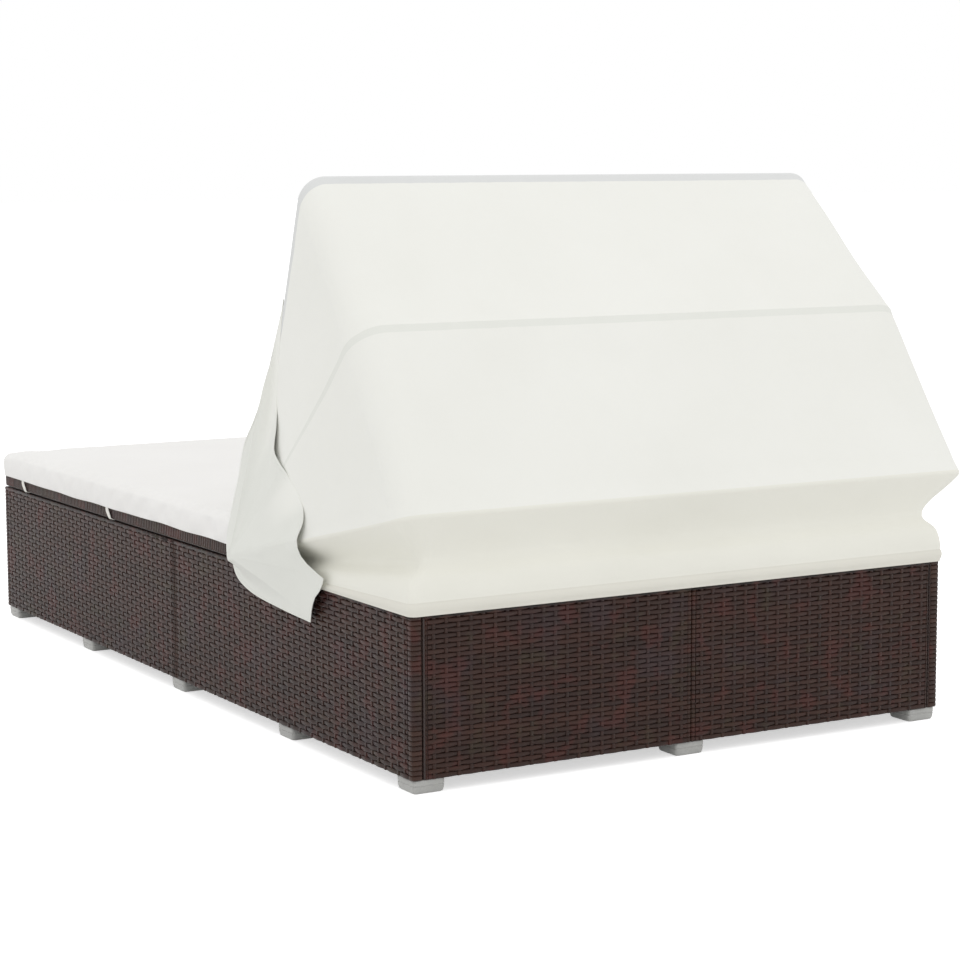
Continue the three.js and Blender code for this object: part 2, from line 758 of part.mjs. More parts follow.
const halfClothGap = gapBetweenCloths / 2;
addPiece('canopy_front_gore', gore(lines.front, lines.mid, frontNormals, {
  before: hemOverhang, after: -halfClothGap, last: midNormals,
}), 'canopyCloth');
addPiece('canopy_rear_gore', gore(lines.mid, lines.rear, rearNormals, {
  before: -halfClothGap, after: -halfClothGap, first: midNormals,
}), 'canopyCloth');

// Skirt: wraps the rear hoop, is drawn in over the head of the bed and flares over the box's top edge
const hemHeightShare = 1 / 4;
const easeHeightShare = 0.38;
const pinchHeightShare = 0.56;
const drawStartShare = 0.1;
const skirtTop = hoopStations(hoops.rear, skirtStart);
const skirtLine = skirtTop.map((station) => onHoop(hoops.rear, station));
const skirtNormals = (() => {
  const partner = hoopStations(hoops.mid, skirtStart * (hoops.mid.reach / hoops.rear.reach));
  return stationNormals(skirtLine, partner.map((station) => onHoop(hoops.mid, station)));
})();

// The skirt's outline in plan, matched station by station to the rear hoop
function planOutline(standOff) {
  const x = halfWidth + standOff;
  const y = halfLength + standOff;
  const hoop = hoops.rear;
  const legFrom = pivotY + skirtStart * Math.cos(radians(hoop.tilt));
  return skirtTop.map(([stationX, r]) => {
    const side = Math.sign(stationX) || 1;
    const legEnd = hoop.reach - hoopCorner;
    const barEnd = hoop.halfWidth - hoopCorner;
    if (r <= legEnd) {
      return [side * x, mix(legFrom, y - skirtCorner, (r - skirtStart) / (legEnd - skirtStart))];
    }
    if (Math.abs(stationX) > barEnd) {
      const angle = Math.asin((r - legEnd) / hoopCorner);
      return [side * (x - skirtCorner + skirtCorner * Math.cos(angle)),
        y - skirtCorner + skirtCorner * Math.sin(angle)];
    }
    return [(stationX / barEnd) * (x - skirtCorner), y];
  });
}

function skirt() {
  const hem = planOutline(skirtStandOff);
  const drawn = planOutline(skirtStandOff - skirtPinch);
  const bottom = boxTop - skirtBottomLap;
  const fullHeight = hoops.rear.reach * Math.sin(radians(hoops.rear.tilt)) + pivotZ - bottom;
  const middle = [];
  const normals = [];
  skirtLine.forEach((centre, i) => {
    const height = centre.z - bottom;
    const draw = smooth(height / fullHeight, drawStartShare, 1);
    const at = (plan, share) => new THREE.Vector3(plan[0], plan[1], bottom + height * share);
    const pinchPlan = [mix(hem[i][0], drawn[i][0], draw), mix(hem[i][1], drawn[i][1], draw)];
    const easePlan = [mix(hem[i][0], drawn[i][0], draw / 4), mix(hem[i][1], drawn[i][1], draw / 4)];
    const pinch = at(pinchPlan, pinchHeightShare);
    const along = new THREE.Vector3().subVectors(
      skirtLine[Math.min(i + 1, skirtLine.length - 1)],
      skirtLine[Math.max(i - 1, 0)],
    ).normalize();
    const toPinch = new THREE.Vector3().subVectors(pinch, centre);
    toPinch.addScaledVector(along, -toPinch.dot(along));
    const distance = toPinch.length();
    toPinch.normalize();
    const out = new THREE.Vector3().crossVectors(along, toPinch).normalize();
    if (out.dot(skirtNormals[i]) < 0) out.negate();
    const lean = Math.min(clothOffset / distance, 1);
    const leaving = out.multiplyScalar(Math.sqrt(1 - lean * lean)).addScaledVector(toPinch, lean);
    const row = [];
    const rowNormals = [];
    for (const turn of [0, 1 / 3, 2 / 3, 1]) {
      const normal = skirtNormals[i].clone().lerp(leaving, turn).normalize();
      row.push(centre.clone().addScaledVector(normal, clothOffset));
      rowNormals.push(normal);
    }
    row[0].addScaledVector(new THREE.Vector3().subVectors(row[1], row[0]).normalize(), halfClothGap);
    const flat = new THREE.Vector3(hem[i][0] - drawn[i][0], hem[i][1] - drawn[i][1], 0).normalize();
    const fall = [[pinchPlan, pinchHeightShare], [easePlan, easeHeightShare], [hem[i], hemHeightShare]];
    for (const [plan, share] of [...fall, [hem[i], 0]]) {
      row.push(at(plan, share));
      rowNormals.push(flat.clone());
    }
    middle.push(row);
    normals.push(rowNormals);
  });
  return sheetBody(middle, normals);
}
addPiece('canopy_skirt', skirt(), 'canopyCloth');

// Side flaps: hang outside the hoops' feet from the lower side of the canopy
const flapFrontShares = [[0.061, 0.102], [0, 0.171], [0.012, 0.24], [0.105, 0.46], [0.203, 0.652],
  [0.346, 0.847], [0.481, 1]];
const flapRearShares = [[0.893, 0], [0.949, 0.123], [1, 0.23], [0.89, 0.274], [0.78, 0.379],
  [0.687, 0.583], [0.593, 0.788], [0.5, 0.992]];
const flapColumns = 7;
const flapRows = 12;

function flapCurve(shares) {
  return new THREE.CatmullRomCurve3(shares.map(([y, z]) => (
    new THREE.Vector3(0, pivotY - flapAhead + flapSpan * y, pivotZ - flapDrop + flapRise * z)
  )), false, 'centripetal');
}

// Half-width of the canopy's outer cloth face at an angle above the pivot and a distance from it
function clothHalfWidth(angle, distance) {
  const ordered = [hoops.rear, hoops.mid, hoops.front];
  const surface = (hoop) => (
    hoop.halfWidth + hoop.splay * (distance / hoop.reach) + hoopTube + clothGap + clothThickness
  );
  if (angle <= ordered[0].tilt) return surface(ordered[0]);
  for (let i = 0; i < 2; i += 1) {
    const [low, high] = [ordered[i], ordered[i + 1]];
    if (angle <= high.tilt) {
      return mix(surface(low), surface(high), (angle - low.tilt) / (high.tilt - low.tilt));
    }
  }
  return surface(ordered[2]);
}

function flap(side) {
  const front = flapCurve(flapFrontShares);
  const rear = flapCurve(flapRearShares);
  const overBolt = boltHeadX + boltHeadHeight + flapStandOff + clothThickness / 2;
  const middle = [];
  const normals = [];
  for (let i = 0; i <= flapRows; i += 1) {
    const row = [];
    for (let j = 0; j <= flapColumns; j += 1) {
      const share = j / flapColumns;
      const p = front.getPointAt(i / flapRows).lerp(rear.getPointAt(i / flapRows), share);
      p.z -= flapBow * 4 * share * (1 - share) * Math.pow(1 - i / flapRows, 4);
      const up = p.z - pivotZ;
      const out = p.y - pivotY;
      const distance = Math.hypot(out, up);
      const angle = THREE.MathUtils.radToDeg(Math.atan2(up, out));
      const held = THREE.MathUtils.clamp(angle, 0, 90);
      const near = clothHalfWidth(held, distance) + flapStandOff + clothThickness / 2;
      const x = mix(overBolt, near, smooth(distance, flapClingFrom, flapClingTo));
      p.x = side * (x + flapBulge * Math.sin(Math.PI * share));
      row.push(p);
    }
    middle.push(row);
  }
  for (let i = 0; i <= flapRows; i += 1) {
    const row = [];
    for (let j = 0; j <= flapColumns; j += 1) {
      const up = new THREE.Vector3().subVectors(
        middle[Math.min(i + 1, flapRows)][j],
        middle[Math.max(i - 1, 0)][j],
      );
      const across = new THREE.Vector3().subVectors(
        middle[i][Math.min(j + 1, flapColumns)],
        middle[i][Math.max(j - 1, 0)],
      );
      const normal = new THREE.Vector3().crossVectors(across, up).normalize();
      row.push(normal.x * side < 0 ? normal.negate() : normal);
    }
    normals.push(row);
  }
  return sheetBody(middle, normals);
}
addPiece('canopy_flap_right', flap(1), 'canopyCloth');
addPiece('canopy_flap_left', flap(-1), 'canopyCloth');

// Mattress: a crowned pad in two sections that meet over the backrest hinge
const padEdgeShares = [
  { height: 0, inset: 2 },
  { height: 0.12, inset: 0.45 },
  { height: 0.4, inset: 0 },
  { height: 0.75, inset: 0.1 },
  { height: 1, inset: 0.75 },
];
const crownShares = [0.14, 0.4, 1];
const outlinePerSide = { short: 8, long: 10, corner: 3 };

function padOutline(halfX, halfY) {
  const points = [];
  const r = mattressCorner;
  const run = (from, to, steps) => {
    for (let i = 0; i < steps; i += 1) {
      points.push([mix(from[0], to[0], i / steps), mix(from[1], to[1], i / steps)]);
    }
  };
  const turn = (cx, cy, from) => {
    for (let i = 0; i < outlinePerSide.corner; i += 1) {
      const angle = from + (Math.PI / 2) * (i / outlinePerSide.corner);
      points.push([cx + r * Math.cos(angle), cy + r * Math.sin(angle)]);
    }
  };
  run([halfX, -halfY + r], [halfX, halfY - r], outlinePerSide.long);
  turn(halfX - r, halfY - r, 0);
  run([halfX - r, halfY], [-halfX + r, halfY], outlinePerSide.short);
  turn(-halfX + r, halfY - r, Math.PI / 2);
  run([-halfX, halfY - r], [-halfX, -halfY + r], outlinePerSide.long);
  turn(-halfX + r, -halfY + r, Math.PI);
  run([-halfX + r, -halfY], [halfX - r, -halfY], outlinePerSide.short);
  turn(halfX - r, -halfY + r, Math.PI * 1.5);
  return points;
}

// foldEnd is +1 where the section's head end leans over the fold, -1 where its foot end does
function padBody(halfX, y, foldEnd) {
  const middleY = (y[0] + y[1]) / 2;
  const halfY = (y[1] - y[0]) / 2;
  const outline = padOutline(halfX, halfY);
  const place = (px, py, z, drawn) => {
    const drawX = drawn * mattressDrawIn * (1 - Math.pow(py / halfY, 2));
    const drawY = drawn * mattressDrawIn * (1 - Math.pow(px / halfX, 2));
    const cornerShare = Math.pow(Math.abs(px) / halfX, 6) * Math.pow(Math.abs(py) / halfY, 6);
    const lean = Math.tan(radians(foldSlant)) * (z - mattressBottom);
    const folded = foldEnd * py > 0 ? -foldEnd * lean * ((foldEnd * py) / halfY) : 0;
    return new THREE.Vector3(
      px - Math.sign(px) * drawX * Math.pow(Math.abs(px) / halfX, 2),
      middleY + py - Math.sign(py) * drawY * Math.pow(Math.abs(py) / halfY, 2) + folded,
      z - mattressDroop * cornerShare * ((z - mattressBottom) / mattressEdge),
    );
  };
  const rings = padEdgeShares.map(({ height, inset }) => outline.map(([px, py]) => (
    place(px - Math.sign(px) * inset * mattressRound * (Math.abs(px) / halfX),
      py - Math.sign(py) * inset * mattressRound * (Math.abs(py) / halfY),
      mattressBottom + height * mattressEdge, 1)
  )));
  for (const share of crownShares) {
    const inset = share * mattressCrownRun;
    rings.push(outline.map(([px, py]) => (
      place(px * (1 - inset / halfX), py * (1 - inset / halfY),
        mattressBottom + mattressEdge + mattressCrown * (1 - Math.pow(1 - share, 2)), 1 - share)
    )));
  }
  return closedRings(rings.map((ring) => [...ring, ring[0]]));
}

const mattressMain = [-halfLength - mattressFootOver, seatDeckEnd];
const mattressHead = [pivotY + mattressFoldGap, backrestEnd];
addPiece('mattress_main', padBody(halfWidth + mattressSideOver, mattressMain, 1), 'mattressCloth');
addPiece('mattress_head', padBody(mattressHeadHalfWidth, mattressHead, -1), 'mattressCloth');

// Ties: straps from the mattress over the deck's edge, hooked into the gap under it
function tie(side, y) {
  const inner = halfWidth + seat;
  const outer = inner + strapThickness;
  const hook = [boxTop + (shadowGap - strapThickness) / 2, boxTop + (shadowGap + strapThickness) / 2];
  const width = [y - strapWidth / 2, y + strapWidth / 2];
  return join([
    block(onSide(side, [inner, outer]), width, [hook[0], deckTop]),
    block(onSide(side, [halfWidth - strapReach, outer]), width, hook),
  ]);
}
for (const [place, y] of [['foot', -halfLength + strapFootInset], ['seat', deckJoint - strapJointInset]]) {
  addPiece(`mattress_tie_${place}_right`, tie(1, y), 'mattressCloth');
  addPiece(`mattress_tie_${place}_left`, tie(-1, y), 'mattressCloth');
}

export default daybed;
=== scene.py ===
import json
import math
from collections import namedtuple

import bmesh
import bpy
import numpy as np
from mathutils import Matrix, Vector
from mathutils.bvhtree import BVHTree


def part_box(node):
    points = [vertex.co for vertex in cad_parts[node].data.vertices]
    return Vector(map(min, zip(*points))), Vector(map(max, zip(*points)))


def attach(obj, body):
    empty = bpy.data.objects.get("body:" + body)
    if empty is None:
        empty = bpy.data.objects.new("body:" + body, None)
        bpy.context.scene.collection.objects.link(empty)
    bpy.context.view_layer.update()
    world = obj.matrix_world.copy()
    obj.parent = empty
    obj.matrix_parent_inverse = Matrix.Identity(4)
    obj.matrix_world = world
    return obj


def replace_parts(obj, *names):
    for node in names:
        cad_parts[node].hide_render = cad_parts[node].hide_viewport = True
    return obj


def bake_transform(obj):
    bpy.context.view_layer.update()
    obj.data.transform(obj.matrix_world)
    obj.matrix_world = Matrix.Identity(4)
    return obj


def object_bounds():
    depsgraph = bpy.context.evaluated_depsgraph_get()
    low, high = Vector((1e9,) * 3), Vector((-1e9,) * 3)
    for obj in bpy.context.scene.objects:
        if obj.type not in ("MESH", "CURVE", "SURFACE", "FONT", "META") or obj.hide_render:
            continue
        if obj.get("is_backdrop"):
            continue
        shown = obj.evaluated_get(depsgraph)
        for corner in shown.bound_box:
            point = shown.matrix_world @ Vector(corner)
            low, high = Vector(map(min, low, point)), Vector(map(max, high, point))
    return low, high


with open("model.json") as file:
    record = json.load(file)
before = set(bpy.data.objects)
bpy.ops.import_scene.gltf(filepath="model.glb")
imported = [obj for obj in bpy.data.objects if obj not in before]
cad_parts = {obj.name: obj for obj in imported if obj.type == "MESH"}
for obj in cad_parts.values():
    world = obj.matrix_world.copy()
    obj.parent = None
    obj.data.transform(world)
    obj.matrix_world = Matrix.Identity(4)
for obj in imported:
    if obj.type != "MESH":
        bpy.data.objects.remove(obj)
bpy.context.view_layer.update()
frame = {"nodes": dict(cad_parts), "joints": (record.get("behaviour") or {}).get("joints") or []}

# The photograph's camera
AZIMUTH = math.radians(149.82)
ELEVATION = math.radians(7.25)
ROLL = math.radians(-0.23)
EYE = Vector((2.549, 4.631, 1.064))
FOCAL_PIXELS = 2503
PHOTO_PIXELS = 960
SENSOR = 36

SIDES = (("right", 1), ("left", -1))

# Weave: a strand runs over and under the spokes, and strips of wound strand close each panel's ends
ROW_PITCH = 0.0087
SPOKE_PITCH = 0.0237
STRAND_WIDTH = 0.0086
STRAND_THICKNESS = 0.0016
STRAND_WAVE = 0.0011
SPOKE_WIDTH = 0.0062
SPOKE_THICKNESS = 0.0018
EDGE_STRIP = 0.0165
SEAM_STRIP = 0.009
STRIP_DEPTH = 0.012
STRIP_PROUD = 0.0022
STRIP_CORNER = 0.003
SEAM_GAP = 0.001
CORNER_GAP = 0.003
TURN_LEAN = math.radians(1.2)
PANEL_WRAP = 0.0185
DECK_WRAP_SEAM = -0.469
DECK_WRAP_GAP = 0.001
DECK_WRAP_CORNER = 0.004
DECK_WRAP_BACK = 0.001
# The rim along a panel's top edge stands out past the strips by RIM_PROUD
RIM_RADIUS = 0.0038
RIM_PROUD = 0.0006
RIM_START = 0.002
RIM_SHORTER = 0.003

# Hoops and stay
EYE_HALF = 0.0082
EYE_RADIUS = 0.011
EYE_EASE = 0.12
BOLT_RADIUS = 0.0053
HOOP_TUBE = 0.008
SOLID_CORNER = 0.028
# The legs lean out by the solid's splay and by what the photograph shows beyond it, the spread. The hoop
# sways to the left, more and more between these two distances from the pivot
HOOP_CORNER = {"rear_hoop": 0.036, "mid_hoop": 0.052, "front_hoop": 0.038}
HOOP_SPLAY = {"rear_hoop": 0.018, "mid_hoop": 0.016, "front_hoop": 0.006}
HOOP_SPREAD = {"rear_hoop": 0.0, "mid_hoop": 0.007, "front_hoop": 0.0}
HOOP_SWAY = {"rear_hoop": 0.028, "mid_hoop": 0.020, "front_hoop": 0.004}
SWAY_RISE = (0.12, 0.58)
TUBE_START = 0.0065
TUBE_STATIONS = (8, 9, 8)
STAY_TUBE = 0.005
STAY_SIDES = 16
STAY_EYE = 0.009
STAY_BORE = 0.0043
STAY_EYE_HALF = 0.005
STAY_ARM_START = 0.8

# Canopy cloth: its thickness, and how far its outer side lies from the middle of a hoop's tube
CLOTH = 0.0016
CLOTH_OFFSET = 0.0101
CLOTH_START = 0.06
CLOTH_STATIONS = (44, 12, 76)
GORE_SAG = 0.004
GORE_SAG_FROM = 0.4
TUCK_STEEPEST = 0.14
TUCK_LENGTH = 0.04
SLEEVE_TURN = math.radians(205)
SLEEVE_ROWS, GORE_ROWS, FOLD_ROWS = 12, 28, 4
SKIRT_START = 0.13
SKIRT_BOTTOM = 0.307
SKIRT_STAND_OFF = 0.007
SKIRT_PINCH = 0.03
SKIRT_PINCH_SIDES = 0.010
SKIRT_CORNER = 0.014
# Levels between the skirt's bottom edge, 0, and the rear hoop, 1
PINCH_LEVEL = 0.56
EASE_LEVEL = 0.36
HEM_LEVEL = 0.14
HEM_ROWS = 8
HEM_ROLL = 0.0024
HEM_CREASE = 0.0014
HEM_CREASE_RUN = 0.12
OVER_REAR_ROWS = 7
CANOPY_MIDDLE = 0.2

# Side flaps: how far they clear what they lie on, and how often the sheet is drawn taut
FLAP_CLEAR = 0.0026
FLAP_SEWN_CLEAR = 0.0003
FLAP_OVER_BOLT = 0.0042
FLAP_OVER_BOX = 0.0045
FLAP_INNERMOST = 0.54
FLAP_TAUT = 240
FLAP_RAYS = (74, 30, 60)
FLAP_RINGS = 30
FLAP_HEM = 0.012
FLAP_HEM_INSETS = (0.010, 0.0086, 0.006, 0.0012, 0.0)
FLAP_HEM_RISES = (0, 0.0009, 0.001, 0.0009, 0.0002)
FLAP_RIPPLE = 0.0009
FLAP_RIPPLE_LENGTH = 0.16
FLAP_RIPPLE_RISE = (0.02, 0.1)
FLAP_LIFT_RUN = (0.72, 1.0)
FLAP_LIFT_CURL = 1.5
SEWN_FLAT = (0.7, 0.95)
SEWN_SHADED = (0.45, 0.98)
BOLT_HEAD_REACH = 0.011
LEG_REACH = 0.007
# The front seam climbs from the bolt to the front hoop, within these distances ahead of the hoop's leg
FRONT_SEAM = (-0.002, 0.05)
FRONT_SEAM_RUN = 0.56
FRONT_SEAM_BOW = 0.6
CANOPY_SIDE_FROM = 0.45

# Mattress
TIE_WIDTH = 0.013
TIE_THICKNESS = 0.0012
PAD_CROWN = 0.009
PAD_CROWN_RUN = 0.2
PAD_CROWN_CUT = 0.72
PAD_CORNER = 0.034
PAD_CORNER_LEAST = 0.004
PAD_OVERHANG = 0.004
PAD_DROOP = 0.004
PAD_DROOP_RUN = 0.012
PAD_WAVE = 0.0035
PAD_WAVE_LENGTH = 0.17
PAD_NARROWS = (0.300, 0.328)
PAD_STEP = 0.018
PAD_SWELL = 0.005
PAD_OVER_DECK = 0.0003
# Inset and level of the rings down the pad's edge, from its top to its underside
PAD_RINGS = [(0.014, 1.0), (0.0085, 0.975), (0.004, 0.91), (0.001, 0.80), (0.0, 0.62), (0.0, 0.40),
             (0.001, 0.2), (0.0005, 0.07), (0.0015, 0.02)]
PAD_UNDER_INSET = 0.012

# Studio
FLOOR_HALF = 60
FLOOR_DROP = 0.0004
FLOOR_COLOUR = (0.9, 0.9, 0.9, 1)
FLOOR_GLOW = (0.58, 0.58, 0.58, 1)
SKY_LIGHT = (0.965, 0.965, 0.965, 1)
LAMP_PLACE = (0.2, 1.4, 4.2)
LAMP_AIM = (0, 0.2, 0.4)
LAMP_POWER = 15
LAMP_SIZE = 4.0


def linked(name, data):
    """A new object in the scene."""
    piece = bpy.data.objects.new(name, data)
    bpy.context.scene.collection.objects.link(piece)
    return piece


def srgb(red, green, blue):
    """A colour read from the photograph, in linear light."""
    def linear(value):
        value /= 255
        return value / 12.92 if value <= 0.04045 else ((value + 0.055) / 1.055) ** 2.4
    return (linear(red), linear(green), linear(blue), 1)


def look():
    """Sets up the camera of the photograph."""
    back = Vector((math.sin(AZIMUTH) * math.cos(ELEVATION),
                   -math.cos(AZIMUTH) * math.cos(ELEVATION), math.sin(ELEVATION)))
    right = (-back).cross(Vector((0, 0, 1))).normalized()
    up = right.cross(-back)
    rolled_right = right * math.cos(ROLL) + up * math.sin(ROLL)
    rolled_up = up * math.cos(ROLL) - right * math.sin(ROLL)
    camera = linked("photo_camera", bpy.data.cameras.new("photo_camera"))
    turn = Matrix((rolled_right, rolled_up, back)).transposed().to_4x4()
    camera.matrix_world = Matrix.Translation(EYE) @ turn
    camera.data.sensor_width = SENSOR
    camera.data.lens = FOCAL_PIXELS / PHOTO_PIXELS * SENSOR
    camera.data.clip_end = 100
    bpy.context.scene.camera = camera


look()


def operator(operation):
    """An operator of Value and its reflected form."""
    def straight(value, other):
        return value.math(operation, other)

    def reflected(value, other):
        return value.node("ShaderNodeMath", {"operation": operation}, {0: other, 1: value})

    return straight, reflected


class Value:
    """A socket in a node tree, with the arithmetic that materials and trees need."""

    __add__, __radd__ = operator("ADD")
    __sub__, __rsub__ = operator("SUBTRACT")
    __mul__, __rmul__ = operator("MULTIPLY")
    __truediv__, __rtruediv__ = operator("DIVIDE")

    def __init__(self, tree, socket):
        self.tree = tree
        self.socket = socket

    def node(self, kind, settings=None, inputs=None, output=0):
        """Adds a node: its settings first, then the values or links of its sockets."""
        made = self.tree.nodes.new(kind)
        for name, value in (settings or {}).items():
            setattr(made, name, value)
        for name, value in (inputs or {}).items():
            if isinstance(value, Value):
                self.tree.links.new(value.socket, made.inputs[name])
            else:
                made.inputs[name].default_value = value
        return Value(self.tree, made.outputs[output])

    def math(self, operation, *others):
        return self.node("ShaderNodeMath", {"operation": operation}, dict(enumerate((self, *others))))

    def between(self, low, high):
        return self.math("MAXIMUM", low).math("MINIMUM", high)

    def mixed(self, low, high):
        """A colour between low and high, at this share."""
        return self.node("ShaderNodeMix", {"data_type": "RGBA"}, {"Factor": self, 6: low, 7: high}, 2)

    def parts(self):
        """The x, y and z of a vector."""
        made = self.node("ShaderNodeSeparateXYZ", {}, {0: self})
        return [Value(self.tree, socket) for socket in made.socket.node.outputs]


class Finish:
    """A material under construction, on the object's own coordinates."""

    def __init__(self, name, roughness=0.5, metallic=0.0, colour=(0.5, 0.5, 0.5, 1), **fixed):
        self.material = bpy.data.materials.new(name)
        self.material.use_nodes = True
        self.tree = self.material.node_tree
        self.shader = self.tree.nodes["Principled BSDF"]
        values = {"Roughness": roughness, "Metallic": metallic, "Base Color": colour, **fixed}
        for socket, value in values.items():
            self.shader.inputs[socket].default_value = value
        coordinates = self.tree.nodes.new("ShaderNodeTexCoord")
        self.place = Value(self.tree, coordinates.outputs["Object"])

    def noise(self, scale, detail=3.0, roughness=0.5, stretch=(1, 1, 1)):
        mapped = self.place.node("ShaderNodeMapping", {}, {"Vector": self.place, "Scale": stretch})
        inputs = {"Vector": mapped, "Scale": scale, "Detail": detail, "Roughness": roughness}
        return self.place.node("ShaderNodeTexNoise", {}, inputs)

    def attribute(self, name):
        return self.place.node("ShaderNodeAttribute", {"attribute_name": name}, {}, 2)

    def feed(self, socket, value):
        self.tree.links.new(value.socket, self.shader.inputs[socket])
        return self

    def raised(self, height, distance, strength):
        inputs = {"Height": height, "Distance": distance, "Strength": strength}
        return self.feed("Normal", self.place.node("ShaderNodeBump", {}, inputs))


# Materials
def strand_finish(name, dark, light, rough):
    """Flat extruded plastic strand in mixed browns, which change from strand to strand and along each."""
    finish = Finish(name, roughness=rough, **{"Specular IOR Level": 0.27})
    tone = finish.attribute("tone")
    drift = finish.noise(11, 3)
    fleck = finish.noise(170, 2, stretch=(1, 1, 2.5))
    share = (tone * 0.5 + drift * 0.6 + fleck * 0.35 - 0.25).math("MINIMUM", 1.0)
    brown = share.mixed(dark, light)
    hue = finish.noise(17, 2, 0.6)
    reddish = (hue * 3.2 - 1.75).between(0.0, 0.3)
    olive = (1.35 - hue * 3.2).between(0.0, 0.34)
    cool = finish.noise(9, 2, 0.6)
    slate = (cool * 3.0 - 1.6).between(0.0, 0.45)
    brown = slate.mixed(brown, srgb(54, 42, 46))
    finish.feed("Base Color", olive.mixed(reddish.mixed(brown, srgb(88, 38, 34)), srgb(62, 54, 36)))
    finish.feed("Roughness", fleck * 0.18 + (rough - 0.09))
    grain = finish.noise(1400, 2)
    return finish.raised(grain, 0.0002, 0.5).material


def cloth_finish(name, colour, shade, sewn_to=None):
    """Plain-woven polyester: fine threads both ways, faint unevenness and a soft sheen."""
    finish = Finish(name, roughness=0.9, **{"Sheen Weight": 0.2, "Sheen Roughness": 0.5,
                                            "Specular IOR Level": 0.25})
    drift = finish.noise(3.2, 4, 0.6)
    warp = finish.noise(1100, 2, stretch=(1, 1, 0.12))
    weft = finish.noise(1100, 2, stretch=(0.12, 0.12, 1))
    share = drift * 0.8 + (warp + weft) * 0.15 - 0.15
    tone = share.mixed(colour, shade)
    if sewn_to:
        tone = finish.attribute("sewn").mixed(tone, sewn_to)
    finish.feed("Base Color", tone)
    creased = finish.noise(14, 3, 0.55)
    height = (warp + weft) * 0.1 + creased
    return finish.raised(height, 0.0014, 0.5).material


def coated_finish(name, colour, worn, roughness=0.42):
    """Powder coat: fine orange peel and a little dust."""
    finish = Finish(name, roughness=roughness)
    dust = finish.noise(14, 4, 0.6)
    peel = finish.noise(520, 2)
    finish.feed("Base Color", (dust * 1.1 - 0.25).mixed(colour, worn))
    finish.feed("Roughness", dust * 0.2 + (roughness - 0.1))
    return finish.raised(peel, 0.0003, 0.35).material


def brushed_finish(name, colour, dull):
    """Zinc plate: bright with turned lines and clouding."""
    finish = Finish(name, roughness=0.3, metallic=1.0)
    cloud = finish.noise(60, 3)
    lines = finish.noise(700, 2, stretch=(12, 1, 1))
    finish.feed("Base Color", cloud.mixed(colour, dull))
    finish.feed("Roughness", cloud * 0.2 + 0.22)
    return finish.raised(lines, 0.0001, 0.4).material


def foot_finish(name, colour, dull):
    """Moulded silver-grey plastic with a fine speckle."""
    finish = Finish(name, roughness=0.45)
    speckle = finish.noise(420, 3, 0.7)
    cloud = finish.noise(25, 3)
    finish.feed("Base Color", (speckle * 0.7 + cloud * 0.5 - 0.1).mixed(colour, dull))
    finish.feed("Roughness", speckle * 0.2 + 0.34)
    return finish.raised(speckle, 0.0004, 0.5).material


def solid_weave_finish(name, dark, light):
    """The same strand weave as a pattern, for woven faces that are seldom seen."""
    finish = Finish(name, roughness=0.5)
    x, y, z = finish.place.parts()
    rows = ((z + y) * (math.pi / ROW_PITCH)).math("SINE").math("ABSOLUTE")
    spokes = ((x + y) * (math.pi / SPOKE_PITCH)).math("SINE")
    crossing = rows * 0.7 + spokes * rows * 0.3
    drift = finish.noise(8, 3)
    finish.feed("Base Color", (crossing * 0.5 + drift * 0.6 - 0.1).mixed(dark, light))
    return finish.raised(crossing, 0.0012, 0.8).material


strand = strand_finish("woven_strand", srgb(28, 13, 8), srgb(62, 35, 25), 0.47)
wrap_strand = strand_finish("wrapped_strand", srgb(33, 18, 13), srgb(67, 42, 32), 0.47)
# The rim wound along each panel's top edge is real; its strand is darker than the weave's, which also paints
# the shadow line along the box's top edge
rim_strand_and_painted_shadow = strand_finish("rim_strand_and_painted_shadow", srgb(22, 13, 10), srgb(44, 29, 24), 0.5)
backing = solid_weave_finish("woven_backing", srgb(34, 20, 16), srgb(56, 37, 31))
canopy_cloth = cloth_finish("canopy_cloth", srgb(240, 240, 235), srgb(230, 230, 223))
flap_cloth = cloth_finish("canopy_flap_cloth", srgb(231, 232, 226), srgb(220, 221, 214),
                          sewn_to=srgb(238, 238, 232))
# The band over the middle hoop's pocket: a slightly darker copy of the canopy cloth, painted shade for the
# soft valley along the hoop
painted_shade_band_cloth = cloth_finish("canopy_band_painted_shade_cloth", srgb(233, 234, 228), srgb(223, 224, 217))
skirt_cloth = cloth_finish("canopy_skirt_cloth", srgb(238, 237, 228), srgb(227, 226, 216))
# The front hoop's sleeve: a grey copy of the canopy cloth, painted shade for the side of the sleeve that
# turns away from the light
painted_shade_sleeve_cloth = cloth_finish("canopy_sleeve_painted_shade_cloth", srgb(223, 224, 223), srgb(212, 213, 212))
hem_cloth = cloth_finish("canopy_hem_cloth", srgb(228, 226, 216), srgb(216, 214, 204))
pad_cloth = cloth_finish("mattress_cloth", srgb(242, 241, 239), srgb(232, 230, 227))
tape = cloth_finish("tie_tape", srgb(236, 234, 228), srgb(220, 217, 208))
coat = coated_finish("dark_powder_coat", srgb(46, 39, 36), srgb(66, 58, 53))
pale_coat = coated_finish("pale_powder_coat", srgb(206, 203, 196), srgb(188, 184, 176), 0.38)
zinc = brushed_finish("zinc_plate", srgb(196, 198, 200), srgb(150, 152, 154))
foot_plastic = foot_finish("foot_plastic", srgb(192, 192, 188), srgb(152, 152, 150))
eye_plastic = coated_finish("eye_plastic", srgb(58, 56, 55), srgb(78, 75, 73), 0.5)


